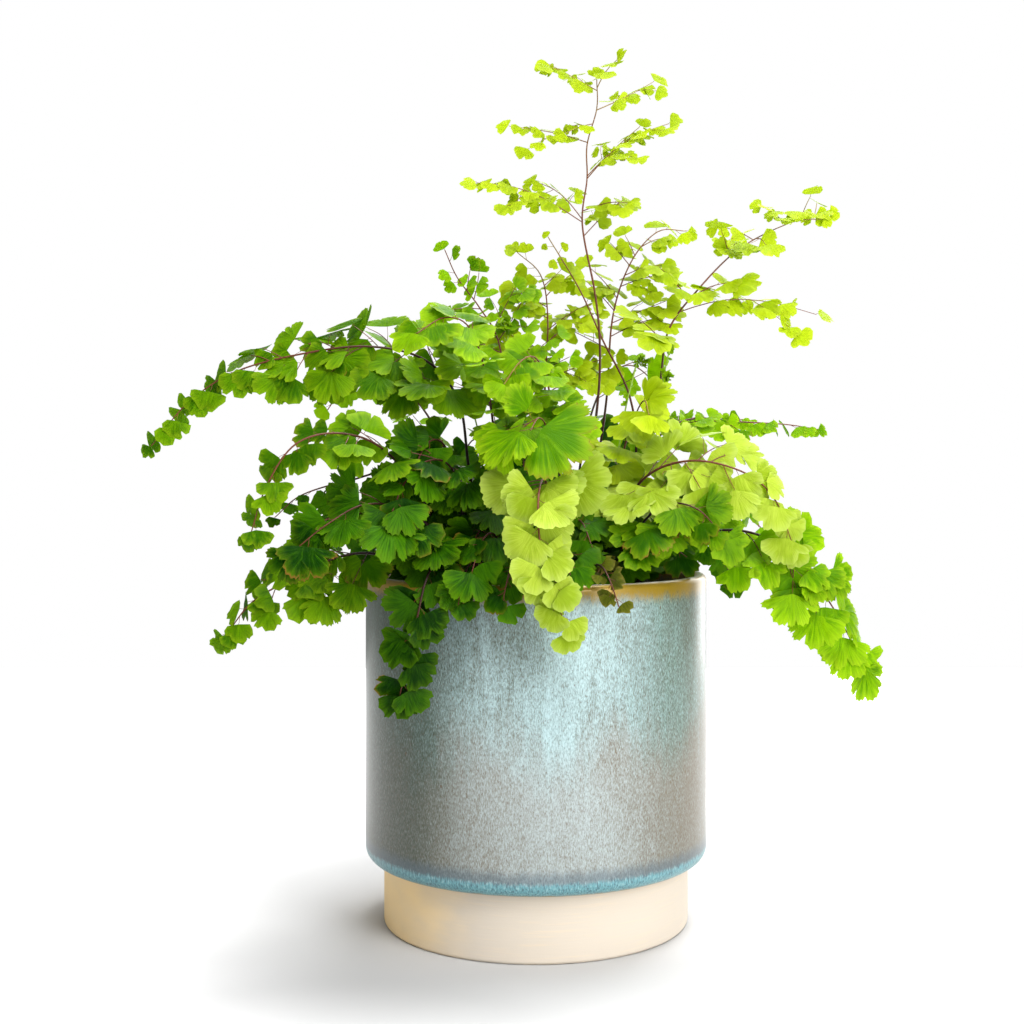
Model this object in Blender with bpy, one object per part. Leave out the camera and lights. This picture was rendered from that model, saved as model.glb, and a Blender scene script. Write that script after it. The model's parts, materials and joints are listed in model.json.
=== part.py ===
"""Potted maidenhair fern: a glazed stoneware pot with a raw clay foot, its soil, and the fern's fronds.

Metres, +Z up. The origin is the middle of the pot's flat base, and the plant shows best from -Y. Each frond
is one solid: a wiry stem, side stems that leave it left and right in turn or in places of their own, and
fan-shaped leaflets sunk into them. A side stem or leaflet that would cross another frond is turned clear of
it, made smaller or left off.
"""

import math
import random
from dataclasses import dataclass

import bmesh
import bpy
from mathutils import Matrix, Vector
from mathutils.bvhtree import BVHTree

MM = 0.001
GAP = 0.3 * MM
UP = Vector((0, 0, 1))

# The pot, from its base up
POT_SIDES = 48
FOOT_RADIUS = 62.5 * MM
FOOT_BEVEL = 1.5 * MM
BODY_RADIUS = 70 * MM
BODY_BOTTOM = 26.5 * MM
BODY_CORNER = 5 * MM
POT_HEIGHT = 142 * MM
WALL = 5 * MM
LIP = WALL / 2
FOOT_WALL = 6 * MM
FLOOR = 8 * MM
STEP_TOP = 37 * MM

# The soil
SOIL_SIDES = 24
SOIL_TOP = 128 * MM
SOIL_LUMP = 1.3 * MM
HOLE_RADIUS = 2 * MM
HOLE_SIDES = 4
HOLE_DEPTH = 12 * MM

# Stems and leaflets
STEM_BASE = 1.0 * MM
STEM_TIP = 0.6 * MM
SIDE_STEM = 0.5 * MM
BLADE = 0.65 * MM
CLEARANCE = 0.35 * MM
BURIED = 10 * MM
STRAIGHT_OUT = 5 * MM
STRAIGHTEST = 0.6 * MM
SHORTEST_SIDE_STEM = 9 * MM
STALK = 2.5 * MM
DIP = 0.15
SPRAY_BARE = 0.28
LEAFLET_FOOT = 0.5 * MM
LEAFLET_STEP = 1.55
FACING = 1.5

# Colours and finishes: linear red, green, blue, then roughness
GLAZE = ((0.36, 0.47, 0.47), 0.18)
SOIL = ((0.035, 0.022, 0.014), 0.95)
TONES = {
    "deep": ((0.045, 0.16, 0.012), 0.5),
    "fresh": ((0.13, 0.32, 0.015), 0.5),
    "young": ((0.34, 0.52, 0.04), 0.5),
}


@dataclass
class Frond:
    """One frond. Lengths are in millimetres, as measured on such a plant.

    root is where its stem stands in the soil, and route the points that the stem passes, up to its tip.
    bare is the share of the stem below the first side stem, reach the longest side stem, gap the space
    between side stems, and leaf the radius of the first and last leaflets. plane and tilt are the angles by
    which the frond's plane and its leaflets' faces turn from level towards the -Y side. sprays, where there
    are any, are its side stems one by one: the share of the stem where each leaves it, its end, and its
    leaflets' radius.
    """

    name: str
    tone: str
    root: tuple
    route: tuple
    bare: float
    reach: float
    gap: float
    leaf: tuple
    plane: float = 0.0
    tilt: float = 0.0
    sprays: tuple = ()


FRONDS = (
    Frond("left_arch", "fresh", (-20, -6),
          ((-27, -14, 184), (-31, -22, 212), (-44, -27, 228), (-66, -31, 233), (-92, -32, 230),
           (-118, -32, 223), (-137, -30, 211), (-152, -28, 194)), 0.42, 21, 12.5, (17, 7), 50, 55),
    Frond("left_bow", "fresh", (-30, -24),
          ((-43, -42, 172), (-57, -58, 192), (-72, -70, 198), (-87, -77, 194), (-97, -80, 179),
           (-103, -80, 161)), 0.50, 13, 12, (13.5, 7), 50, 55),
    Frond("left_sprig", "deep", (-36, -3),
          ((-46, -12, 160), (-58, -16, 182), (-76, -12, 180), (-96, -8, 174), (-107, -6, 165)),
          0.50, 12, 12, (8, 5.5), 15, 10),
    Frond("left_fan", "deep", (-26, -34),
          ((-34, -48, 155), (-47, -62, 169), (-62, -75, 172), (-75, -83, 165), (-86, -86, 156)),
          0.42, 17, 12.5, (17, 12), 50, 60),
    Frond("left_low", "fresh", (-40, -25),
          ((-45, -33, 145), (-61, -42, 152), (-76, -46, 151), (-93, -50, 143), (-108, -52, 134),
           (-119, -50, 120)), 0.45, 18, 11.5, (14, 7), 50, 55),
    Frond("front_left_trail", "deep", (-26, -42),
          ((-31, -52, 150), (-36, -66, 152), (-40, -77, 144), (-43, -81, 130), (-46, -81, 116),
           (-49, -79, 104)), 0.42, 6, 9, (12.5, 12), 80, 80),
    Frond("front_trail", "young", (6, -32),
          ((6, -50, 170), (3, -68, 181), (1, -84, 176), (1, -92, 163), (3, -93, 150), (7, -91, 139),
           (11, -89, 128)), 0.46, 11, 9, (15.5, 9), 75, 80),
    Frond("front_fan", "fresh", (2, -16),
          ((4, -28, 184), (4, -44, 200), (1, -60, 204), (-2, -72, 199)),
          0.62, 12, 11, (18, 14), 50, 42,
          (
              (0.90, (-11, -70, 194), 14), (0.95, (-3, -68, 206), 14), (0.985, (-4.6, -72, 198.9), 22),
              (0.99, (0.8, -72.2, 200), 23))),
    Frond("right_bow", "young", (22, -14),
          ((31, -24, 160), (42, -36, 181), (59, -45, 188), (78, -51, 184), (90, -53, 174),
           (97, -53, 157)), 0.38, 21, 12, (14.5, 11), 50, 60),
    Frond("right_low", "fresh", (38, -19),
          ((45, -25, 146), (60, -34, 158), (79, -40, 161), (96, -43, 154), (110, -43, 138),
           (120, -41, 122), (127, -38, 108)), 0.42, 20, 12, (15, 14.5), 50, 60),
    Frond("right_spray", "fresh", (33, 6),
          ((41, 9, 172), (51, 13, 197), (66, 18, 206), (88, 24, 205), (108, 28, 204), (122, 30, 202)),
          0.48, 22, 12.5, (8, 6), 15, 32),
    Frond("right_tall", "young", (24, 1),
          ((38, 5, 165), (46, 6, 193), (52, 10, 220), (56, 14, 243), (68, 18, 260), (87, 22, 279),
           (110, 26, 291), (124, 28, 293)), 0.50, 46, 13.5, (9, 5.5), 90, 30,
          (
              (0.57, (42, 4, 248), 9), (0.64, (122, 32, 252), 7.5), (0.665, (84, 8, 263), 8),
              (0.67, (52, 8, 269), 7), (0.79, (78, 10, 285), 6),
              (0.85, (80, 30, 290), 5.5), (0.855, (97, 12, 279), 8), (0.925, (98, 14, 295), 4.5),
              (0.955, (117, 18, 301), 5.5), (0.98, (123, 36, 301), 5.5))),
    Frond("curled_young", "young", (32, 16),
          ((42, 16, 185), (40, 13, 214), (28, 9, 239), (18, 5, 260), (5, 1, 281)),
          0.93, 6, 4, (5, 4.5), 90, 40),
    Frond("tallest", "young", (11, -3),
          ((20, -5, 172), (24, -6, 201), (26, -6, 221), (26, -6, 240), (24, -6, 258), (19, -6, 285),
           (21, -4, 304), (21, -4, 318), (25, -4, 333), (25, -4, 345)), 0.64, 46, 13.5, (5.5, 5.5), 90, 28,
          (
              (0.715, (36, 6, 297), 5.5), (0.74, (-24, -12, 301), 5.5), (0.745, (0, 8, 305), 5.5),
              (0.76, (37, -16, 292), 5), (0.82, (54, -12, 325), 5), (0.825, (43, 3, 327), 5),
              (0.885, (-11, 6, 328), 5), (0.92, (12, -8, 322), 3.8), (0.945, (49, 8, 347), 5.2),
              (0.98, (6, -4, 351), 5), (0.985, (33, -12, 351), 5))),
    Frond("upper_left", "fresh", (-9, 4),
          ((-8, 6, 180), (-12, 8, 214), (-16, 10, 239), (-24, 10, 253), (-33, 8, 265), (-38, 4, 276)),
          0.56, 34, 12, (8.5, 6), 80, 30),
    Frond("upper_middle", "young", (0, 11),
          ((2, 13, 180), (4, 17, 223), (5, 20, 250), (2, 23, 268), (-8, 25, 278)),
          0.56, 36, 12, (10.5, 7), 80, 32),
    Frond("upper_right", "young", (18, 12),
          ((25, 15, 180), (30, 18, 214), (33, 24, 250), (41, 28, 274), (53, 32, 288), (66, 36, 289)),
          0.62, 30, 12, (11.5, 8.5), 60, 38),
    Frond("crown_left", "fresh", (-12, -14),
          ((-16, -18, 190), (-20, -24, 222), (-26, -34, 240), (-35, -45, 243), (-45, -55, 236)),
          0.52, 24, 12.5, (15, 12), 40, 50),
    Frond("crown_front", "young", (12, -18),
          ((9, -20, 190), (5, -26, 217), (0, -36, 228), (-6, -46, 226), (-12, -54, 217)),
          0.52, 21, 11.5, (12, 9.5), 40, 45),
    Frond("crown_right", "young", (26, -4),
          ((35, -7, 188), (40, -15, 206), (43, -25, 212), (44, -36, 206)),
          0.52, 16, 12, (13.5, 11.5), 40, 50),
    Frond("inner_left", "deep", (-18, -26),
          ((-24, -36, 165), (-32, -50, 185), (-40, -62, 188), (-48, -71, 180), (-53, -77, 167)),
          0.42, 18, 12, (15.5, 12.5), 50, 60),
    Frond("inner_front", "deep", (-9, -38),
          ((-13, -50, 152), (-16, -62, 161), (-20, -73, 158), (-23, -81, 148)),
          0.45, 12, 11, (14, 11), 60, 70),
    Frond("inner_right", "deep", (26, -30),
          ((37, -42, 158), (48, -53, 171), (60, -61, 170), (70, -66, 159)),
          0.42, 18, 11, (13.5, 11), 50, 60),
    Frond("left_side", "deep", (-42, 8),
          ((-54, 11, 158), (-72, 13, 168), (-88, 14, 164), (-99, 14, 150)),
          0.45, 18, 11.5, (13, 9), 25, 30),
    Frond("right_side", "fresh", (42, 2),
          ((54, 6, 158), (70, 9, 170), (84, 11, 170), (97, 13, 158)), 0.42, 20, 11.5, (13, 9.5), 25, 30),
    Frond("back_left", "fresh", (-24, 12),
          ((-34, 19, 180), (-50, 31, 212), (-70, 45, 224), (-88, 57, 219), (-101, 66, 203)),
          0.45, 26, 15.5, (13.5, 9.5), -35, -45),
    Frond("back_left_low", "deep", (-32, 22),
          ((-46, 34, 156), (-66, 48, 170), (-86, 61, 166), (-100, 71, 149), (-107, 76, 130)),
          0.42, 22, 14, (13.5, 10), -35, -45),
    Frond("back_high", "young", (-7, 20),
          ((-9, 31, 190), (-13, 47, 228), (-19, 67, 246), (-25, 87, 246), (-31, 102, 233)),
          0.50, 28, 16, (12.5, 9), -35, -45),
    Frond("back_low", "deep", (-10, 34),
          ((-13, 52, 158), (-19, 73, 174), (-25, 93, 168), (-29, 107, 150), (-31, 113, 130)),
          0.42, 22, 15.5, (14, 10), -35, -45),
    Frond("back_right", "fresh", (14, 24),
          ((20, 38, 190), (30, 58, 222), (43, 78, 233), (56, 95, 226), (66, 106, 208)),
          0.48, 28, 15.5, (13.5, 9.5), -35, -45),
    Frond("back_right_low", "deep", (28, 28),
          ((40, 42, 156), (56, 58, 171), (73, 74, 167), (86, 85, 150), (93, 91, 131)),
          0.42, 22, 14, (14, 10), -35, -45),
)


def clear_scene():
    """Removes whatever the file opens with."""
    for obj in list(bpy.data.objects):
        bpy.data.objects.remove(obj)


def material(name, colour, roughness):
    """A plain finish of one linear colour."""
    made = bpy.data.materials.new(name)
    made.use_nodes = True
    shader = made.node_tree.nodes["Principled BSDF"]
    shader.inputs["Base Color"].default_value = (*colour, 1)
    shader.inputs["Roughness"].default_value = roughness
    shader.inputs["Metallic"].default_value = 0
    return made


def mesh_object(name, points, faces, finish=None):
    """A mesh object in the scene, made from points and faces."""
    mesh = bpy.data.meshes.new(name)
    mesh.from_pydata([tuple(p) for p in points], [], faces)
    mesh.validate()
    obj = bpy.data.objects.new(name, mesh)
    bpy.context.scene.collection.objects.link(obj)
    if finish:
        mesh.materials.append(finish)
    return obj


def arc(centre, radius, start, end, steps):
    """Points of a profile's arc about centre (r, z), from one angle to another in degrees."""
    angles = [math.radians(start + (end - start) * k / steps) for k in range(steps + 1)]
    return [(centre[0] + radius * math.cos(a), centre[1] + radius * math.sin(a)) for a in angles]


def turned(profile, sides):
    """Points and faces of a closed shape turned about +Z from (r, z) pairs, with both end rings capped."""
    points, faces = [], []
    for r, z in profile:
        for k in range(sides):
            turn = 2 * math.pi * k / sides
            points.append((r * math.cos(turn), r * math.sin(turn), z))
    for ring in range(len(profile) - 1):
        for k in range(sides):
            low, high = ring * sides, (ring + 1) * sides
            after = (k + 1) % sides
            faces.append((low + k, low + after, high + after, high + k))
    faces.append(tuple(reversed(range(sides))))
    last = (len(profile) - 1) * sides
    faces.append(tuple(range(last, last + sides)))
    return points, faces


def pot_profile():
    """The pot's outline from the edge of its base, up the outside, over the lip and down to its floor."""
    outside = arc((FOOT_RADIUS - FOOT_BEVEL, FOOT_BEVEL), FOOT_BEVEL, -90, 0, 2)
    outside.append((FOOT_RADIUS, BODY_BOTTOM))
    outside += arc((BODY_RADIUS - BODY_CORNER, BODY_BOTTOM + BODY_CORNER), BODY_CORNER, -80, 0, 3)
    lip = arc((BODY_RADIUS - LIP, POT_HEIGHT - LIP), LIP, 0, 180, 4)
    inner_foot = FOOT_RADIUS - FOOT_WALL
    inside = [
        (BODY_RADIUS - WALL, STEP_TOP),
        (inner_foot, BODY_BOTTOM + FOOT_BEVEL),
        (inner_foot, FLOOR + BODY_CORNER),
        (inner_foot - BODY_CORNER, FLOOR),
    ]
    return outside + lip + inside


def build_pot():
    """The pot: one turned wall with a narrower foot, a rounded lip and a flat base."""
    points, faces = turned(pot_profile(), POT_SIDES)
    obj = mesh_object("pot", points, faces, material("glazed_stoneware", *GLAZE))
    obj.data.shade_smooth()
    obj.data.set_sharp_from_angle(angle=math.radians(40))
    return obj


def soil_height(x, y):
    """The soil's surface: a low mound with crumbs worked out from three crossing waves."""
    mound = 2.5 * MM * (1 - (x * x + y * y) / BODY_RADIUS**2)
    crumbs = math.sin(x / MM * 0.31) * math.sin(y / MM * 0.27 + 1) + 0.5 * math.sin((x + y) / MM * 0.53)
    return SOIL_TOP + mound + SOIL_LUMP * crumbs / 1.5


def soil_shape():
    """The soil without its holes: it fills the pot up to a lumpy surface below the lip."""
    inner, inner_foot = BODY_RADIUS - WALL - GAP, FOOT_RADIUS - FOOT_WALL - GAP
    walls = [
        (inner_foot - BODY_CORNER, FLOOR + GAP),
        (inner_foot, FLOOR + BODY_CORNER + GAP),
        (inner_foot, BODY_BOTTOM + FOOT_BEVEL),
        (inner, STEP_TOP + GAP),
        (inner, SOIL_TOP),
    ]
    rings = [(inner * share, SOIL_TOP) for share in (0.84, 0.64, 0.44, 0.22)]
    points, faces = turned(walls + rings, SOIL_SIDES)
    loose = len(walls) * SOIL_SIDES
    raised = [(x, y, soil_height(x, y)) for x, y, z in points[loose:]]
    return [Vector(p) for p in points[:loose] + raised], faces


def build_soil(fronds):
    """The soil, with a plain hole for each frond's stem."""
    soil = mesh_object("soil", *soil_shape(), material("potting_soil", *SOIL))
    low = SOIL_TOP - HOLE_DEPTH
    points, faces = turned([(HOLE_RADIUS, low), (HOLE_RADIUS, low + 2 * HOLE_DEPTH)], HOLE_SIDES)
    holes = []
    for frond in fronds:
        root = Vector((*frond.root, 0)) * MM
        holes.append(mesh_object("hole", [root + Vector(p) for p in points], faces))
    combine(soil, holes, "DIFFERENCE")


def combine(obj, others, operation):
    """Applies one Boolean of obj with all the others, then removes them."""
    group = bpy.data.collections.new("others")
    for other in others:
        group.objects.link(other)
    modifier = obj.modifiers.new("combine", "BOOLEAN")
    modifier.operation = operation
    modifier.operand_type = "COLLECTION"
    modifier.collection = group
    modifier.solver = "MANIFOLD"
    bpy.context.view_layer.update()
    graph = bpy.context.evaluated_depsgraph_get()
    mesh = bpy.data.meshes.new_from_object(obj.evaluated_get(graph))
    obj.modifiers.clear()
    obj.data = mesh
    mesh.name = obj.name
    keep_largest(mesh)
    for other in others:
        bpy.data.objects.remove(other)
    bpy.data.collections.remove(group)


def keep_largest(mesh):
    """Keeps a mesh's largest closed shell, so that loose scraps go and sealed hollows are filled."""
    shape = bmesh.new()
    shape.from_mesh(mesh)
    shells, seen = [], set()
    for face in shape.faces:
        if face in seen:
            continue
        shell, waiting = [], [face]
        seen.add(face)
        while waiting:
            shell.append(waiting.pop())
            for near in (f for edge in shell[-1].edges for f in edge.link_faces if f not in seen):
                seen.add(near)
                waiting.append(near)
        shells.append(shell)
    shells.sort(key=len)
    for shell in shells[:-1]:
        bmesh.ops.delete(shape, geom=shell, context="FACES")
    shape.to_mesh(mesh)
    shape.free()


def curve_through(before, points, spacing):
    """A smooth Catmull-Rom curve through points that comes from the point before, in short steps."""
    ends = [before, *points, 2 * points[-1] - points[-2]]
    line = []
    for a, b, c, d in zip(ends, ends[1:], ends[2:], ends[3:]):
        steps = max(2, round((c - b).length / spacing))
        for k in range(steps):
            t = k / steps
            line.append(0.5 * (2 * b + (c - a) * t + (2 * a - 5 * b + 4 * c - d) * t**2
                               + (3 * b - a - 3 * c + d) * t**3))
    return [*line, points[-1]]


class Line:
    """A stem's centre line, read by the distance along it."""

    def __init__(self, points):
        self.points = points
        self.along = [0.0]
        for a, b in zip(points, points[1:]):
            self.along.append(self.along[-1] + (b - a).length)
        self.length = self.along[-1]

    def at(self, distance):
        """The point, and the direction there, at a distance from the line's start."""
        k = 0
        while k < len(self.points) - 2 and self.along[k + 1] < distance:
            k += 1
        step = self.points[k + 1] - self.points[k]
        share = (distance - self.along[k]) / step.length
        return self.points[k] + step * min(share, 1), step.normalized()


def simplified(points, tolerance):
    """The fewest of a curve's points whose straight stretches stay this close to it."""
    kept, last = [points[0]], 0
    for k in range(2, len(points)):
        chord = (points[k] - points[last]).normalized()
        far = max(((p - points[last]).cross(chord)).length for p in points[last + 1 : k])
        if far > tolerance:
            last = k - 1
            kept.append(points[last])
    return [*kept, points[-1]]


def outer_edge(leaflet, grown=0.0):
    """The points of the outer edge from one side to the other, cut into more lobes where it is large."""
    radius = leaflet.radius + grown
    if radius > 15 * MM:
        edge = ((-1, 0.80), (-0.72, 0.98), (-0.36, 0.88), (0, 1), (0.36, 0.88), (0.72, 0.98), (1, 0.80))
    elif radius > 11.5 * MM:
        edge = ((-1, 0.82), (-0.5, 1), (0, 0.86), (0.5, 1), (1, 0.82))
    else:
        edge = ((-1, 0.84), (-0.35, 1), (0.35, 1), (1, 0.84))
    across = leaflet.normal.cross(leaflet.heading)
    points = []
    for turn, reach in edge:
        angle = turn * math.radians(leaflet.spread)
        along = leaflet.heading * math.cos(angle) + across * math.sin(angle)
        points.append(leaflet.foot + along * reach * radius)
    return points


def fan(leaflet, thickness=BLADE, grown=0.0, start=0.0):
    """Points and faces of a leaflet by itself, without the share of it next to its stem."""
    edge = outer_edge(leaflet, grown)
    if start:
        flat = [leaflet.foot.lerp(edge[-1], start), leaflet.foot.lerp(edge[0], start), *edge]
    else:
        flat = [leaflet.foot, *edge]
    half = leaflet.normal * (thickness / 2)
    n = len(flat)
    points = [p - half for p in flat] + [p + half for p in flat]
    faces = [tuple(reversed(range(n))), tuple(range(n, 2 * n))]
    faces += [(k, (k + 1) % n, n + (k + 1) % n, n + k) for k in range(n)]
    return points, faces


class Spray:
    """A stem of three sides with leaflets drawn out of its left and right sides and its end, as one mesh.

    The stem's ridge is below and its flat side above. A leaflet takes the place of one stretch of a side:
    its upper face starts from the stem's upper edge and its lower face from the ridge.
    """

    def __init__(self, line, side, radii):
        self.line = line
        self.side = side
        self.radii = radii
        self.points = []
        self.faces = []

    def ring(self, distance):
        """Adds a ring of left, right and ridge points, and gives the first one's number."""
        middle, ahead = self.line.at(distance)
        across = (self.side - ahead * self.side.dot(ahead)).normalized()
        up = across.cross(ahead)
        share = distance / self.line.length
        radius = self.radii[0] + (self.radii[1] - self.radii[0]) * share
        first = len(self.points)
        for x, z in ((-0.87, 0.5), (0.87, 0.5), (0, -1)):
            self.points.append(middle + (across * x + up * z) * radius)
        return first

    def build(self, bends, laterals, terminal):
        """Points and faces, from the bends, the leaflets as (distance, hand, leaflet), and the end one."""
        held = {}
        for distance, hand, leaflet in laterals:
            held.setdefault(distance, {})[hand] = leaflet
        stretches = []
        for distance in sorted(set(bends) | set(held)):
            if distance in held:
                stretches += [(distance - LEAFLET_FOOT, held[distance]), (distance + LEAFLET_FOOT, {})]
            else:
                stretches.append((distance, {}))
        rings = [self.ring(distance) for distance, _ in stretches]
        self.faces.append((rings[0], rings[0] + 2, rings[0] + 1))
        for k in range(len(rings) - 1):
            low, high = rings[k], rings[k + 1]
            leaflets = stretches[k][1]
            self.faces.append((low, low + 1, high + 1, high))
            if -1 in leaflets:
                self.lateral(low, high, -1, leaflets[-1])
            else:
                self.faces.append((low, high, high + 2, low + 2))
            if 1 in leaflets:
                self.lateral(low, high, 1, leaflets[1])
            else:
                self.faces.append((low + 1, low + 2, high + 2, high + 1))
        last = rings[-1]
        if terminal:
            self.terminal(last, terminal)
        else:
            self.faces.append((last, last + 1, last + 2))
        return self.points, self.faces

    def edge(self, leaflet, onwards, upwards):
        """Adds the outer edge's points in the order that runs onwards: the numbers above and below."""
        edge = outer_edge(leaflet)
        if (edge[-1] - edge[0]).dot(onwards) < 0:
            edge.reverse()
        half = leaflet.normal * (BLADE / 2)
        if half.dot(upwards) < 0:
            half.negate()
        first = len(self.points)
        self.points += [p + half for p in edge] + [p - half for p in edge]
        n = len(edge)
        return list(range(first, first + n)), list(range(first + n, first + 2 * n))

    def lateral(self, low, high, hand, leaflet):
        """Draws a leaflet out of the left (-1) or right (1) side between two rings."""
        upper = 0 if hand < 0 else 1
        a, b, c, d = low + upper, high + upper, low + 2, high + 2
        onwards = self.points[high] - self.points[low]
        above, below = self.edge(leaflet, onwards, self.points[a] - self.points[c])
        faces = [(a, b, above[-1]), (c, below[-1], d)]
        for k in range(len(above) - 1):
            faces.append((a, above[k + 1], above[k]))
            faces.append((c, below[k], below[k + 1]))
            faces.append((above[k], above[k + 1], below[k + 1], below[k]))
        faces += [(a, above[0], below[0], c), (b, d, below[-1], above[-1])]
        self.faces += faces if hand < 0 else [tuple(reversed(face)) for face in faces]

    def terminal(self, last, leaflet):
        """Draws a leaflet out of the stem's end."""
        left, right, ridge = last, last + 1, last + 2
        across = self.points[right] - self.points[left]
        above, below = self.edge(leaflet, across, self.points[left] - self.points[ridge])
        self.faces.append((left, right, above[-1]))
        for k in range(len(above) - 1):
            self.faces.append((left, above[k + 1], above[k]))
            self.faces.append((ridge, below[k], below[k + 1]))
            self.faces.append((above[k], above[k + 1], below[k + 1], below[k]))
        self.faces += [(left, above[0], below[0], ridge), (right, ridge, below[-1], above[-1])]


@dataclass
class Leaflet:
    """A leaflet's foot on its stem, the way it points, the way its face looks, its radius and half angle."""

    foot: Vector
    heading: Vector
    normal: Vector
    radius: float
    spread: float

    def turned(self, roll, dip, share):
        """The same leaflet rolled about its own line, dipped at its foot and made smaller."""
        across = self.normal.cross(self.heading)
        tip = Matrix.Rotation(math.radians(dip), 3, across)
        heading = tip @ self.heading
        normal = Matrix.Rotation(math.radians(roll), 3, heading) @ (tip @ self.normal)
        return Leaflet(self.foot, heading, normal, self.radius * share, self.spread)


# How a leaflet in the way is turned: roll and dip in degrees, and its share of the full size
TURNS = ((0, 0, 1), (20, 0, 1), (-20, 0, 1), (0, 18, 1), (0, -18, 1), (38, 10, 0.9), (-38, 10, 0.9),
         (15, 30, 0.85), (-15, -25, 0.85), (0, 0, 0.75), (30, -20, 0.7), (-30, 25, 0.7))
# How a side stem in the way swings along and across its frond, in degrees, and its share of the full length
SWINGS = ((0, 0, 1), (14, 0, 1), (-14, 0, 1), (0, 14, 1), (0, -14, 1), (20, 15, 0.8), (-20, -15, 0.8),
          (0, 25, 0.7), (0, -25, 0.7), (0, 0, 0.5))


class Space:
    """What already fills the space in and round the pot, kept apart for each frond."""

    def __init__(self):
        self.shapes = {}
        self.trees = {}

    def add(self, owner, shape):
        """Adds points and faces to an owner's share of the space."""
        points, faces = self.shapes.setdefault(owner, ([], []))
        first = len(points)
        points.extend(shape[0])
        faces.extend(tuple(first + i for i in face) for face in shape[1])
        self.trees.pop(owner, None)

    def tree(self, owner):
        """The search tree of one owner's shapes."""
        if owner not in self.trees:
            self.trees[owner] = BVHTree.FromPolygons(*self.shapes[owner])
        return self.trees[owner]

    def free(self, shape, owners):
        """Whether a shape meets nothing of these owners."""
        own = BVHTree.FromPolygons(*shape)
        return not any(own.overlap(self.tree(o)) for o in owners if o in self.shapes)


def leaning(tilt):
    """The direction that is this many degrees from straight up towards the -Y side."""
    return Vector((0, -math.sin(math.radians(tilt)), math.cos(math.radians(tilt))))


class SideStem:
    """A side stem as it leaves the main stem, with the leaflets that it carries."""

    def __init__(self, number, line, face, radius, bare):
        self.number = number
        self.line = line
        self.radius = radius
        self.bare = bare
        self.side = line.at(0)[1].cross(face).normalized()
        self.laterals = []
        self.terminal = None

    def shape(self, grown=0.0):
        """The bare side stem."""
        spray = Spray(self.line, self.side, (SIDE_STEM + grown, SIDE_STEM + grown))
        return spray.build(self.line.along, [], None)

    def grown_shape(self):
        """The side stem with its leaflets."""
        spray = Spray(self.line, self.side, (SIDE_STEM, SIDE_STEM))
        return spray.build(self.line.along, self.laterals, self.terminal)


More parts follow.
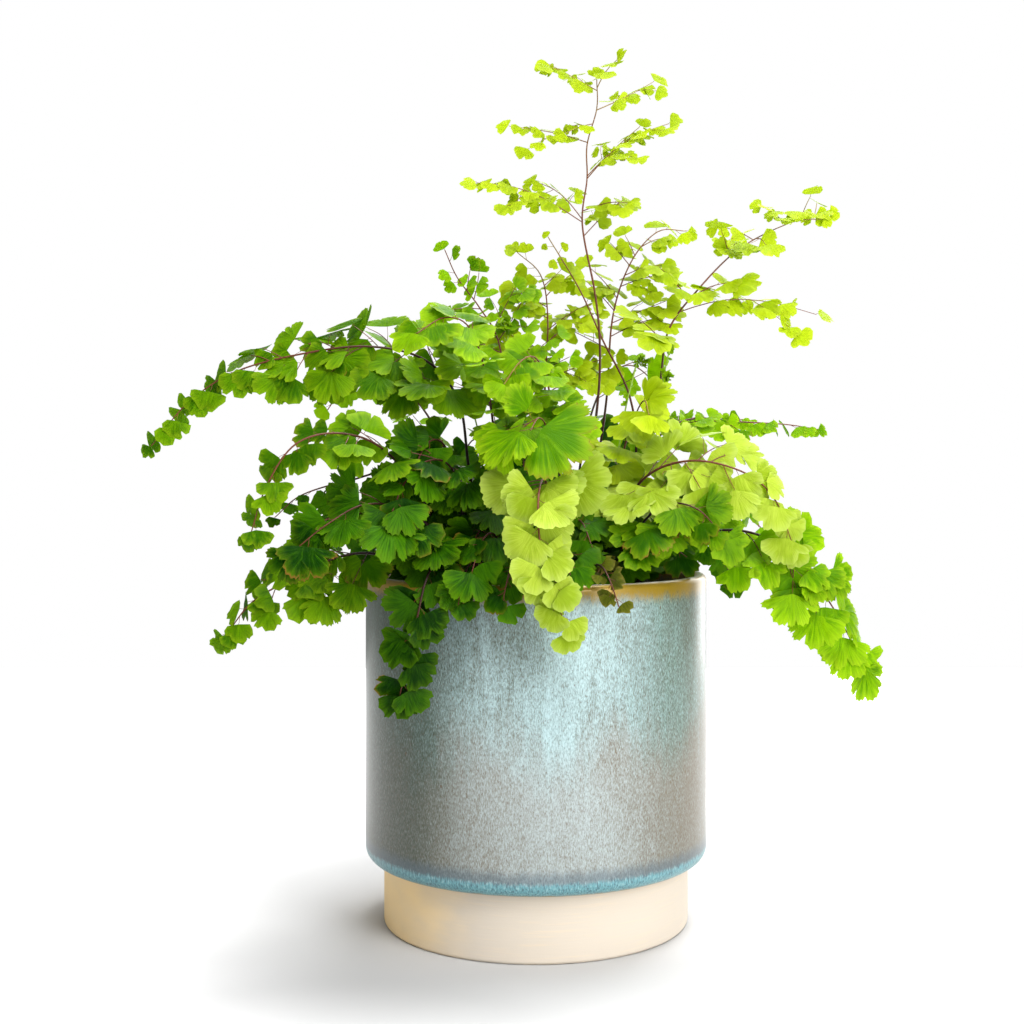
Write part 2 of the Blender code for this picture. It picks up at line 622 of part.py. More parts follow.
class Growth:
    """A frond's stem, side stems and leaflets, as they grow one after another."""

    def __init__(self, frond, number):
        self.frond = frond
        self.random = random.Random(number)
        x, y = frond.root[0] * MM, frond.root[1] * MM
        low, high = Vector((x, y, SOIL_TOP - BURIED)), Vector((x, y, SOIL_TOP + STRAIGHT_OUT))
        route = [high, *(Vector(p) * MM for p in frond.route)]
        self.line = Line([low, *simplified(curve_through(low, route, 2 * MM), STRAIGHTEST)])
        self.first = frond.bare * self.line.length
        leafy = self.line.at(self.line.length)[0] - self.line.at(self.first)[0]
        self.side = leafy.cross(leaning(frond.plane)).normalized()
        self.face = leaning(frond.tilt)
        self.side_stems = []
        self.tip = None

    def others(self, fronds, kind):
        """What the frond has to keep clear of: the pot, the soil and the other fronds."""
        return ["pot", "soil"] + [f.name + kind for f in fronds if f is not self.frond]

    def side_stem_places(self):
        """The distances at which side stems leave the stem, closer together towards its tip."""
        places, at = [], self.first
        while at < self.line.length - 0.5 * self.frond.gap * MM:
            places.append(at)
            at += self.frond.gap * MM * (1 - 0.35 * self.share(at))
        return places

    def share(self, distance):
        """How far along the leafy stretch a distance is, from 0 to 1."""
        return (distance - self.first) / (self.line.length - self.first)

    def leaf_radius(self, distance):
        """The radius of the leaflets at a distance along the stem."""
        first, last = self.frond.leaf
        return (first + (last - first) * self.share(distance)) * MM

    def stem(self, grown=0.0, tip=None):
        """The main stem, with its end leaflet once that has grown."""
        spray = Spray(self.line, self.side, (STEM_BASE + grown, STEM_TIP + grown))
        return spray.build(self.line.along, [], tip)

    def wanted_side_stems(self):
        """Every side stem wanted, as (distance, across, way out, length, leaflet radius, bare share)."""
        for share, end, radius in self.frond.sprays:
            distance = share * self.line.length
            foot, ahead = self.line.at(distance)
            out = Vector(end) * MM - foot
            across = (out - ahead * out.dot(ahead)).normalized()
            yield distance, across, out.normalized(), out.length, radius * MM, SPRAY_BARE
        for k, distance in enumerate([] if self.frond.sprays else self.side_stem_places()):
            ahead = self.line.at(distance)[1]
            share = self.share(distance)
            length = self.frond.reach * MM * (1 - share) ** 0.9 * self.random.uniform(0.85, 1.1)
            sweep = math.radians(32 + 14 * share + self.random.uniform(-6, 6))
            across = (self.side - ahead * self.side.dot(ahead)).normalized() * (1 if k % 2 else -1)
            out = (across * math.cos(sweep) + ahead * math.sin(sweep) - UP * DIP).normalized()
            if length < SHORTEST_SIDE_STEM:
                length = STALK
            yield distance, across, out, length, self.leaf_radius(distance), 0

    def grow_side_stems(self, space, others):
        """Grows the side stems, each swung clear of the other fronds or left off."""
        for k, (distance, across, out, length, radius, bare) in enumerate(self.wanted_side_stems()):
            foot, ahead = self.line.at(distance)
            for along, lift, part in SWINGS:
                swing = Matrix.Rotation(math.radians(along), 3, across.cross(ahead))
                raised = Matrix.Rotation(math.radians(lift), 3, out.cross(UP).normalized())
                line = Line([foot, foot + raised @ (swing @ out) * (length * part)])
                made = SideStem(k, line, self.face, radius, bare)
                if space.free(made.shape(CLEARANCE), others):
                    space.add(self.frond.name, made.shape())
                    self.side_stems.append(made)
                    break

    def leaflet_places(self, stem):
        """Every leaflet that a side stem wants, as (distance or None at its end, hand, leaflet)."""
        at = max(0.5 * stem.radius, stem.bare * stem.line.length)
        hand = 1 if stem.number % 2 else -1
        while stem.line.length > SHORTEST_SIDE_STEM / 2 and at < stem.line.length - 0.4 * stem.radius:
            foot, ahead = stem.line.at(at)
            sweep = math.radians(30)
            heading = stem.side * hand * math.cos(sweep) + ahead * math.sin(sweep)
            size = stem.radius * (1 - 0.2 * at / stem.line.length)
            yield at, hand, self.leaflet(foot, heading, ahead, size)
            at += LEAFLET_STEP * stem.radius
            hand = -hand
        foot, ahead = stem.line.at(stem.line.length)
        yield None, 0, self.leaflet(foot, ahead, stem.side, stem.radius)

    def leaflet(self, foot, heading, ahead, radius):
        """A leaflet that droops below its heading, with its face up and out and a little roll of its own."""
        droop = math.radians(self.random.uniform(8, 42))
        heading = (heading * math.cos(droop) - UP * math.sin(droop)).normalized()
        normal = ahead.cross(heading).normalized()
        if normal.dot(self.face) < 0:
            normal.negate()
        normal += FACING * (self.face - heading * self.face.dot(heading))
        normal = Matrix.Rotation(math.radians(self.random.uniform(-22, 22)), 3, heading) @ normal
        normal = (normal - heading * normal.dot(heading)).normalized()
        size = radius * self.random.uniform(0.85, 1.12)
        return Leaflet(foot, heading, normal, size, self.random.uniform(50, 62))

    def placed(self, leaflet, space, others):
        """The leaflet, turned clear of the other fronds and of its own, or None where nothing is clear."""
        own = self.frond.name + " leaflets"
        for turn in TURNS:
            tried = leaflet.turned(*turn)
            if not space.free(fan(tried, BLADE + 2 * CLEARANCE, CLEARANCE), others):
                continue
            if space.free(fan(tried, BLADE, 0, 0.3), [self.frond.name, own]):
                space.add(own, fan(tried))
                return tried
        return None

    def grow_leaflets(self, space, others):
        """Grows the leaflets, each turned clear of what is there or left off."""
        for stem in self.side_stems:
            for distance, hand, wanted in self.leaflet_places(stem):
                leaflet = self.placed(wanted, space, others)
                if distance is None:
                    stem.terminal = leaflet
                elif leaflet:
                    stem.laterals.append((distance, hand, leaflet))
        foot, ahead = self.line.at(self.line.length)
        leaflet = self.leaflet(foot, ahead, self.side, self.leaf_radius(self.line.length))
        self.tip = self.placed(leaflet, space, others)

    def build(self):
        """The frond as one solid object."""
        colour, roughness = TONES[self.frond.tone]
        finish = material(self.frond.name + "_green", colour, roughness)
        obj = mesh_object(self.frond.name, *self.stem(0, self.tip), finish)
        combine(obj, [mesh_object("piece", *stem.grown_shape()) for stem in self.side_stems], "UNION")
        return obj


def build_fronds(fronds):
    """Grows all the fronds in one space: first the stems, then the side stems, then the leaflets."""
    space = Space()
    space.add("pot", turned(pot_profile(), POT_SIDES))
    space.add("soil", soil_shape())
    growths = [Growth(frond, number) for number, frond in enumerate(fronds)]
    for growth in growths:
        space.add(growth.frond.name, growth.stem())
    for growth in growths:
        growth.grow_side_stems(space, growth.others(fronds, ""))
    for growth in growths:
        others = growth.others(fronds, "") + growth.others(fronds, " leaflets")
        growth.grow_leaflets(space, others)
    for growth in growths:
        growth.build()
    return growths


def main():
    """Builds the pot, the soil and the fern."""
    clear_scene()
    build_pot()
    build_soil(FRONDS)
    build_fronds(FRONDS)


main()
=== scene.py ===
"""The dressed scene of a potted maidenhair fern.

Metres, +Z up. The origin is the middle of the pot's base, and -Y is the side that the plant shows best. The
fern grows here by the same seeded rule as the solids, and is then filled out: finer leaflets in the same
places, more of them between, round wiry stems and hair-fine stalks. The pot and its soil are fine surfaces of
the solids' own form.
"""

from __future__ import annotations

import json
import logging
import math
import random
from collections.abc import Iterator, Sequence
from dataclasses import dataclass, field
from enum import Enum

import bpy
import numpy as np
from mathutils import Matrix, Vector
from mathutils.bvhtree import BVHTree

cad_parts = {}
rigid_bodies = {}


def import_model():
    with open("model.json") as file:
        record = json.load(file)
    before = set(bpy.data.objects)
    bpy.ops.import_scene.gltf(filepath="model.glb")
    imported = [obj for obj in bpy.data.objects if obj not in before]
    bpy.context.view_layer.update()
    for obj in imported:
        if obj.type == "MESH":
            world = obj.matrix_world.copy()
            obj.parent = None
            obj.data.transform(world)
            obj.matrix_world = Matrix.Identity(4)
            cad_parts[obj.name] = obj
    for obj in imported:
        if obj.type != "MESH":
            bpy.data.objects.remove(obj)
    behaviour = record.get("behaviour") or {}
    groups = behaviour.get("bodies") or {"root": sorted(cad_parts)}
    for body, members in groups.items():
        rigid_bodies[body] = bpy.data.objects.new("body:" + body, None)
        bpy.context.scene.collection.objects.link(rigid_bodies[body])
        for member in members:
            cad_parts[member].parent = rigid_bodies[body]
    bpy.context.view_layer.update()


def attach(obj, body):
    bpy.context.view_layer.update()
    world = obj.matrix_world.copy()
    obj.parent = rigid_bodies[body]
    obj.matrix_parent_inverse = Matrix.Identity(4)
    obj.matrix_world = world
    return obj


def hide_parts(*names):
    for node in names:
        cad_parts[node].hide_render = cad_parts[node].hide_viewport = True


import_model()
LOG = logging.getLogger("fern")

MM = 0.001
UP = Vector((0, 0, 1))
Shape = tuple[list, list]
Colour = tuple[float, float, float]


class Tone(Enum):
    """The ages of green, from old to new. The old green is partly painted shade; two darker copies paint
    shade.
    """

    # A darker copy of the old green: painted shade.
    INNER = "inner"
    # Old, dark green, partly painted shade low in the crown.
    DEEP = "deep"
    # A darker copy between the old and the fresh green: painted shade.
    SHADED = "shaded"
    FRESH = "fresh"
    YOUNG = "young"
    PALE = "pale"


class Edge(Enum):
    """How a leaflet's outer edge is cut: depth of clefts and height of teeth, as shares of the radius."""

    SMOOTH = (0.13, 0.022)
    LOBED = (0.23, 0.028)
    JAGGED = (0.26, 0.042)


@dataclass(frozen=True)
class Frond:
    """One frond. Lengths are in millimetres, as measured on such a plant.

    root is where its stem stands in the soil, and route the points that the stem passes, up to its tip.
    bare is the share of the stem below the first side stem, reach the longest side stem, gap the space
    between side stems, and leaf the radius that the first and last leaflets are spaced by. plane and tilt are
    the angles by which the frond's plane and its leaflets' faces turn from level towards the -Y side. edge is
    the cut of its leaflets, and fine the radius to which its first and last leaflets are drawn. sprays, where
    there are any, are its side stems one by one: the share of the stem where each leaves it, its end, and its
    leaflets' radius. A frond that is not full gets no leaflets besides those of its solid.
    A frond's leaflets may take another finish than their tone's: a darker one paints shade, a paler one is a
    tint.
    """

    name: str
    tone: Tone
    root: tuple
    route: tuple
    bare: float
    reach: float
    gap: float
    leaf: tuple
    plane: float = 0.0
    tilt: float = 0.0
    edge: Edge = Edge.LOBED
    fine: tuple = (9, 6)
    sprays: tuple = ()
    full: bool = True
    look: Tone | None = None


FRONDS = (
    # Painted shade: its leaflets take a darker finish.
    Frond("left_arch", Tone.FRESH, (-20, -6),
          ((-27, -14, 184), (-31, -22, 212), (-44, -27, 228), (-66, -31, 233), (-92, -32, 230),
           (-118, -32, 223), (-137, -30, 211), (-152, -28, 194)), 0.42, 21, 12.5, (17, 7), 50, 55,
          Edge.LOBED, (16.5, 6.5), look=Tone.SHADED),
    # Painted shade: its leaflets take a darker finish.
    Frond("left_bow", Tone.FRESH, (-30, -24),
          ((-43, -42, 172), (-57, -58, 192), (-72, -70, 198), (-87, -77, 194), (-97, -80, 179),
           (-103, -80, 161)), 0.50, 13, 12, (13.5, 7), 50, 55, Edge.LOBED, (12.5, 6.5), look=Tone.SHADED),
    Frond("left_sprig", Tone.DEEP, (-36, -3),
          ((-46, -12, 160), (-58, -16, 182), (-76, -12, 180), (-96, -8, 174), (-107, -6, 165)),
          0.50, 12, 12, (8, 5.5), 15, 10, Edge.JAGGED, (7, 5), full=False),
    Frond("left_fan", Tone.DEEP, (-26, -34),
          ((-34, -48, 155), (-47, -62, 169), (-62, -75, 172), (-75, -83, 165), (-86, -86, 156)),
          0.42, 17, 12.5, (17, 12), 50, 60, Edge.JAGGED, (15.5, 12)),
    # Painted shade: its leaflets take a darker finish.
    Frond("left_low", Tone.FRESH, (-40, -25),
          ((-45, -33, 145), (-61, -42, 152), (-76, -46, 151), (-93, -50, 143), (-108, -52, 134),
           (-119, -50, 120)), 0.45, 18, 11.5, (14, 7), 50, 55, Edge.JAGGED, (13, 6.5), look=Tone.SHADED),
    # Painted shade: its leaflets take the darkest finish.
    Frond("front_left_trail", Tone.DEEP, (-26, -42),
          ((-31, -52, 150), (-36, -66, 152), (-40, -77, 144), (-43, -81, 130), (-46, -81, 116),
           (-49, -79, 104)), 0.42, 6, 9, (12.5, 12), 80, 80, Edge.JAGGED, (12, 11), look=Tone.INNER),
    Frond("front_trail", Tone.YOUNG, (6, -32),
          ((6, -50, 170), (3, -68, 181), (1, -84, 176), (1, -92, 163), (3, -93, 150), (7, -91, 139),
           (11, -89, 128)), 0.46, 11, 9, (15.5, 9), 75, 80, Edge.SMOOTH, (15, 8.5), look=Tone.PALE),
    Frond("front_fan", Tone.FRESH, (2, -16),
          ((4, -28, 184), (4, -44, 200), (1, -60, 204), (-2, -72, 199)),
          0.62, 12, 11, (18, 14), 50, 42, Edge.JAGGED, (18, 14), (
              (0.90, (-11, -70, 194), 14), (0.95, (-3, -68, 206), 14), (0.985, (-4.6, -72, 198.9), 22),
              (0.99, (0.8, -72.2, 200), 23))),
    Frond("right_bow", Tone.YOUNG, (22, -14),
          ((31, -24, 160), (42, -36, 181), (59, -45, 188), (78, -51, 184), (90, -53, 174),
           (97, -53, 157)), 0.38, 21, 12, (14.5, 11), 50, 60, Edge.LOBED, (13.5, 11), look=Tone.PALE),
    Frond("right_low", Tone.FRESH, (38, -19),
          ((45, -25, 146), (60, -34, 158), (79, -40, 161), (96, -43, 154), (110, -43, 138),
           (120, -41, 122), (127, -38, 108)), 0.42, 20, 12, (15, 14.5), 50, 60, Edge.JAGGED, (12.5, 13.5)),
    Frond("right_spray", Tone.FRESH, (33, 6),
          ((41, 9, 172), (51, 13, 197), (66, 18, 206), (88, 24, 205), (108, 28, 204), (122, 30, 202)),
          0.48, 22, 12.5, (8, 6), 15, 32, Edge.LOBED, (7.5, 6)),
    Frond("right_tall", Tone.YOUNG, (24, 1),
          ((38, 5, 165), (46, 6, 193), (52, 10, 220), (56, 14, 243), (68, 18, 260), (87, 22, 279),
           (110, 26, 291), (124, 28, 293)), 0.50, 46, 13.5, (9, 5.5), 90, 30,
          Edge.LOBED, (8, 5.5), (
              (0.57, (42, 4, 248), 9), (0.64, (122, 32, 252), 7.5), (0.665, (84, 8, 263), 8),
              (0.67, (52, 8, 269), 7), (0.79, (78, 10, 285), 6),
              (0.85, (80, 30, 290), 5.5), (0.855, (97, 12, 279), 8), (0.925, (98, 14, 295), 4.5),
              (0.955, (117, 18, 301), 5.5), (0.98, (123, 36, 301), 5.5))),
    Frond("curled_young", Tone.YOUNG, (32, 16),
          ((42, 16, 185), (40, 13, 214), (28, 9, 239), (18, 5, 260), (5, 1, 281)),
          0.93, 6, 4, (5, 4.5), 90, 40, Edge.SMOOTH, (4, 3)),
    Frond("tallest", Tone.YOUNG, (11, -3),
          ((20, -5, 172), (24, -6, 201), (26, -6, 221), (26, -6, 240), (24, -6, 258), (19, -6, 285),
           (21, -4, 304), (21, -4, 318), (25, -4, 333), (25, -4, 345)), 0.64, 46, 13.5, (5.5, 5.5), 90, 28,
          Edge.LOBED, (5.5, 5.5), (
              (0.715, (36, 6, 297), 5.5), (0.74, (-24, -12, 301), 5.5), (0.745, (0, 8, 305), 5.5),
              (0.76, (37, -16, 292), 5), (0.82, (54, -12, 325), 5), (0.825, (43, 3, 327), 5),
              (0.885, (-11, 6, 328), 5), (0.92, (12, -8, 322), 3.8), (0.945, (49, 8, 347), 5.2),
              (0.98, (6, -4, 351), 5), (0.985, (33, -12, 351), 5))),
    Frond("upper_left", Tone.FRESH, (-9, 4),
          ((-8, 6, 180), (-12, 8, 214), (-16, 10, 239), (-24, 10, 253), (-33, 8, 265), (-38, 4, 276)),
          0.56, 34, 12, (8.5, 6), 80, 30, Edge.LOBED, (7, 5.5)),
    Frond("upper_middle", Tone.YOUNG, (0, 11),
          ((2, 13, 180), (4, 17, 223), (5, 20, 250), (2, 23, 268), (-8, 25, 278)),
          0.56, 36, 12, (10.5, 7), 80, 32, Edge.LOBED, (7.4, 6)),
    Frond("upper_right", Tone.YOUNG, (18, 12),
          ((25, 15, 180), (30, 18, 214), (33, 24, 250), (41, 28, 274), (53, 32, 288), (66, 36, 289)),
          0.62, 30, 12, (11.5, 8.5), 60, 38, Edge.LOBED, (7.6, 6.5)),
    Frond("crown_left", Tone.FRESH, (-12, -14),
          ((-16, -18, 190), (-20, -24, 222), (-26, -34, 240), (-35, -45, 243), (-45, -55, 236)),
          0.52, 24, 12.5, (15, 12), 40, 50, Edge.LOBED, (13, 10.5)),
    # Painted shade: its leaflets take the darker fresh finish.
    Frond("crown_front", Tone.YOUNG, (12, -18),
          ((9, -20, 190), (5, -26, 217), (0, -36, 228), (-6, -46, 226), (-12, -54, 217)),
          0.52, 21, 11.5, (12, 9.5), 40, 45, Edge.LOBED, (10.5, 8.5), look=Tone.FRESH),
    Frond("crown_right", Tone.YOUNG, (26, -4),
          ((35, -7, 188), (40, -15, 206), (43, -25, 212), (44, -36, 206)),
          0.52, 16, 12, (13.5, 11.5), 40, 50, Edge.LOBED, (13, 11)),
    Frond("inner_left", Tone.DEEP, (-18, -26),
          ((-24, -36, 165), (-32, -50, 185), (-40, -62, 188), (-48, -71, 180), (-53, -77, 167)),
          0.42, 18, 12, (15.5, 12.5), 50, 60, Edge.JAGGED, (15, 12)),
    Frond("inner_front", Tone.DEEP, (-9, -38),
          ((-13, -50, 152), (-16, -62, 161), (-20, -73, 158), (-23, -81, 148)),
          0.45, 12, 11, (14, 11), 60, 70, Edge.LOBED, (13.5, 11)),
    # Painted shade: its leaflets take a darker finish.
    Frond("inner_right", Tone.DEEP, (26, -30),
          ((37, -42, 158), (48, -53, 171), (60, -61, 170), (70, -66, 159)),
          0.42, 18, 11, (13.5, 11), 50, 60, Edge.JAGGED, (13, 11), look=Tone.SHADED),
    Frond("left_side", Tone.DEEP, (-42, 8),
          ((-54, 11, 158), (-72, 13, 168), (-88, 14, 164), (-99, 14, 150)),
          0.45, 18, 11.5, (13, 9), 25, 30, Edge.LOBED, (10, 7), full=False),
    Frond("right_side", Tone.FRESH, (42, 2),
          ((54, 6, 158), (70, 9, 170), (84, 11, 170), (97, 13, 158)),
          0.42, 20, 11.5, (13, 9.5), 25, 30, Edge.LOBED, (10, 7), full=False),
    Frond("back_left", Tone.FRESH, (-24, 12),
          ((-34, 19, 180), (-50, 31, 212), (-70, 45, 224), (-88, 57, 219), (-101, 66, 203)),
          0.45, 26, 15.5, (13.5, 9.5), -35, -45, Edge.LOBED, (11, 7), full=False),
    Frond("back_left_low", Tone.DEEP, (-32, 22),
          ((-46, 34, 156), (-66, 48, 170), (-86, 61, 166), (-100, 71, 149), (-107, 76, 130)),
          0.42, 22, 14, (13.5, 10), -35, -45, Edge.JAGGED, (11, 8), full=False),
    Frond("back_high", Tone.YOUNG, (-7, 20),
          ((-9, 31, 190), (-13, 47, 228), (-19, 67, 246), (-25, 87, 246), (-31, 102, 233)),
          0.50, 28, 16, (12.5, 9), -35, -45, Edge.LOBED, (10, 7), full=False),
    Frond("back_low", Tone.DEEP, (-10, 34),
          ((-13, 52, 158), (-19, 73, 174), (-25, 93, 168), (-29, 107, 150), (-31, 113, 130)),
          0.42, 22, 15.5, (14, 10), -35, -45, Edge.LOBED, (11.5, 8)),
    Frond("back_right", Tone.FRESH, (14, 24),
          ((20, 38, 190), (30, 58, 222), (43, 78, 233), (56, 95, 226), (66, 106, 208)),
          0.48, 28, 15.5, (13.5, 9.5), -35, -45, Edge.LOBED, (10, 7), full=False),
    Frond("back_right_low", Tone.DEEP, (28, 28),
          ((40, 42, 156), (56, 58, 171), (73, 74, 167), (86, 85, 150), (93, 91, 131)),
          0.42, 22, 14, (14, 10), -35, -45, Edge.JAGGED, (11.5, 8)),
)


# Where the fern grows


def turned(profile: Sequence[tuple[float, float]], sides: int) -> Shape:
    """A closed shape turned about +Z from a profile, with both end rings capped.

    Args:
        profile: radius and height of each ring, from the lower outer edge on.
        sides: corners in each ring.

    Returns:
        Its points and faces.
    """
    points, faces = [], []
    for r, z in profile:
        for k in range(sides):
            turn = 2 * math.pi * k / sides
            points.append((r * math.cos(turn), r * math.sin(turn), z))
    for ring in range(len(profile) - 1):
        for k in range(sides):
            low, high = ring * sides, (ring + 1) * sides
            after = (k + 1) % sides
            faces.append((low + k, low + after, high + after, high + k))
    faces.append(tuple(reversed(range(sides))))
    last = (len(profile) - 1) * sides
    faces.append(tuple(range(last, last + sides)))
    return points, faces


def arc(centre: tuple[float, float], radius: float, start: float, end: float, steps: int) -> list:
    """Points of a profile's arc.

    Args:
        centre: radius and height of its centre.
        radius: its own radius.
        start: its first angle in degrees.
        end: its last angle in degrees.
        steps: stretches between its points.

    Returns:
        Radius and height of each point.
    """
    angles = [math.radians(start + (end - start) * k / steps) for k in range(steps + 1)]
    return [(centre[0] + radius * math.cos(a), centre[1] + radius * math.sin(a)) for a in angles]


def curve_through(before: Vector, points: Sequence[Vector], spacing: float) -> list[Vector]:
    """A smooth Catmull-Rom curve.

    Args:
        before: the point that the curve comes from.
        points: the points that it passes.
        spacing: the length of its short steps.

    Returns:
        The points along it.
    """
    ends = [before, *points, 2 * points[-1] - points[-2]]
    line = []
    for a, b, c, d in zip(ends, ends[1:], ends[2:], ends[3:]):
        steps = max(2, round((c - b).length / spacing))
        for k in range(steps):
            t = k / steps
            bend, twist = 2 * a - 5 * b + 4 * c - d, 3 * b - a - 3 * c + d
            line.append(0.5 * (2 * b + (c - a) * t + bend * t**2 + twist * t**3))
    return [*line, points[-1]]


def simplified(points: Sequence[Vector], tolerance: float) -> list[Vector]:
    """The fewest of a curve's points whose straight stretches stay close to it.

    Args:
        points: the curve.
        tolerance: how far from the curve a stretch may lie.

    Returns:
        The kept points.
    """
    kept, last = [points[0]], 0
    for k in range(2, len(points)):
        chord = (points[k] - points[last]).normalized()
        far = max(((p - points[last]).cross(chord)).length for p in points[last + 1 : k])
        if far > tolerance:
            last = k - 1
            kept.append(points[last])
    return [*kept, points[-1]]


def leaning(tilt: float) -> Vector:
    """The direction that is tilt degrees from straight up towards the -Y side."""
    return Vector((0, -math.sin(math.radians(tilt)), math.cos(math.radians(tilt))))


def swept(across: Vector, ahead: Vector, degrees: float) -> Vector:
    """The direction that is this far from straight across towards straight ahead."""
    return across * math.cos(math.radians(degrees)) + ahead * math.sin(math.radians(degrees))


class Line:
    """A stem's centre line, read by the distance along it."""

    def __init__(self, points: Sequence[Vector]) -> None:
        """Takes the points of the line, from its foot to its tip."""
        self.points = points
        self.along = [0.0]
        for a, b in zip(points, points[1:]):
            self.along.append(self.along[-1] + (b - a).length)
        self.length = self.along[-1]

    def at(self, distance: float) -> tuple[Vector, Vector]:
        """The point and the direction at a distance from the line's start."""
        k = 0
        while k < len(self.points) - 2 and self.along[k + 1] < distance:
            k += 1
        step = self.points[k + 1] - self.points[k]
        share = (distance - self.along[k]) / step.length
        return self.points[k] + step * min(share, 1), step.normalized()


# By the least radius: points of the edge from side to side, as shares of the half angle and of the radius.
EDGES = (
    (15 * MM, ((-1, 0.80), (-0.72, 0.98), (-0.36, 0.88), (0, 1), (0.36, 0.88), (0.72, 0.98), (1, 0.80))),
    (11.5 * MM, ((-1, 0.82), (-0.5, 1), (0, 0.86), (0.5, 1), (1, 0.82))),
    (-math.inf, ((-1, 0.84), (-0.35, 1), (0.35, 1), (1, 0.84))))


@dataclass
class Leaflet:
    """Where a leaflet leaves its stem, the way it points, the way its face looks, and its radius.

    spread is half its angle in degrees, and share how far along its side stem it stands.
    """

    foot: Vector
    heading: Vector
    normal: Vector
    radius: float
    spread: float
    share: float = 0.0

    def turned(self, roll: float, dip: float, share: float) -> Leaflet:
        """The same leaflet rolled about its own line, dipped at its foot and made smaller.

        Args:
            roll: degrees about its heading.
            dip: degrees that it tips at its foot.
            share: its share of the full size.

        Returns:
            The new leaflet.
        """
        across = self.normal.cross(self.heading)
        tip = Matrix.Rotation(math.radians(dip), 3, across)
        heading = tip @ self.heading
        normal = Matrix.Rotation(math.radians(roll), 3, heading) @ (tip @ self.normal)
        return Leaflet(self.foot, heading, normal, self.radius * share, self.spread, self.share)

    def edge(self, grown: float) -> list[Vector]:
        """Points of the outer edge from side to side: EDGES has their turns and reaches by radius."""
        radius = self.radius + grown
        across = self.normal.cross(self.heading)
        points = []
        for turn, reach in next(edge for least, edge in EDGES if radius > least):
            angle = turn * math.radians(self.spread)
            along = self.heading * math.cos(angle) + across * math.sin(angle)
            points.append(self.foot + along * reach * radius)
        return points

    def fan(self, thickness: float, grown: float = 0.0, start: float = 0.0) -> Shape:
        """The leaflet as a flat plate.

        Args:
            thickness: the plate's.
            grown: what its radius grows by.
            start: the share next to its stem that is left out.

        Returns:
            Its points and faces.
        """
        edge = self.edge(grown)
        if start:
            flat = [self.foot.lerp(edge[-1], start), self.foot.lerp(edge[0], start), *edge]
        else:
            flat = [self.foot, *edge]
        half = self.normal * (thickness / 2)
        n = len(flat)
        points = [p - half for p in flat] + [p + half for p in flat]
        faces = [tuple(reversed(range(n))), tuple(range(n, 2 * n))]
        faces += [(k, (k + 1) % n, n + (k + 1) % n, n + k) for k in range(n)]
        return points, faces

    def core(self) -> Shape:
        """The leaflet's middle. While the fern fills out, only these keep clear of one another."""
        return self.fan(HABIT.core, -HABIT.overlap * self.radius, HABIT.core_start)


class Space:
    """What already fills the space in and round the pot, kept apart for each owner."""

    def __init__(self) -> None:
        """Starts empty."""
        self.shapes: dict[str, Shape] = {}
        self.trees: dict[str, BVHTree] = {}

    def add(self, owner: str, shape: Shape) -> None:
        """Adds points and faces to an owner's share of the space."""
        points, faces = self.shapes.setdefault(owner, ([], []))
        first = len(points)
        points.extend(shape[0])
        faces.extend(tuple(first + i for i in face) for face in shape[1])
        self.trees.pop(owner, None)

    def tree(self, owner: str) -> BVHTree:
        """The search tree of one owner's shapes."""
        if owner not in self.trees:
            self.trees[owner] = BVHTree.FromPolygons(*self.shapes[owner])
        return self.trees[owner]

    def free(self, shape: Shape, owners: Sequence[str]) -> bool:
        """Whether a shape meets nothing of these owners."""
        own = BVHTree.FromPolygons(*shape)
        return not any(own.overlap(self.tree(o)) for o in owners if o in self.shapes)


def prism(line: Line, side: Vector, radii: tuple[float, float]) -> Shape:
    """A stem of three sides, flat above and with its ridge below.

    Args:
        line: its centre line.
        side: its right hand.
        radii: its radius at its foot and at its tip.

    Returns:
        Its points and faces.
    """
    points: list[Vector] = []
    faces: list[tuple] = [(0, 2, 1)]
    for distance in sorted(set(line.along)):
        middle, ahead = line.at(distance)
        across = (side - ahead * side.dot(ahead)).normalized()
        up = across.cross(ahead)
        radius = radii[0] + (radii[1] - radii[0]) * (distance / line.length)
        for x, z in ((-0.87, 0.5), (0.87, 0.5), (0, -1)):
            points.append(middle + (across * x + up * z) * radius)
    last = len(points) - 3
    for low in range(0, last, 3):
        high = low + 3
        faces += [(low, low + 1, high + 1, high), (low, high, high + 2, low + 2),
                  (low + 1, low + 2, high + 2, high + 1)]
    faces.append((last, last + 1, last + 2))
    return points, faces


@dataclass
class SideStem:
    """A side stem or a twig, with the leaflets that it carries.

    radius is what its leaflets are spaced by, fine what they are drawn to, origin its distance along the main
    stem, bare the share of it below its first leaflet, parent the side stem that carries a twig, and place
    how far along that one the twig leaves it.
    """

    number: int
    line: Line
    radius: float
    side: Vector
    origin: float
    bare: float
    fine: float
    leaflets: list[Leaflet] = field(default_factory=list)
    parent: SideStem | None = None
    place: float = 0.0


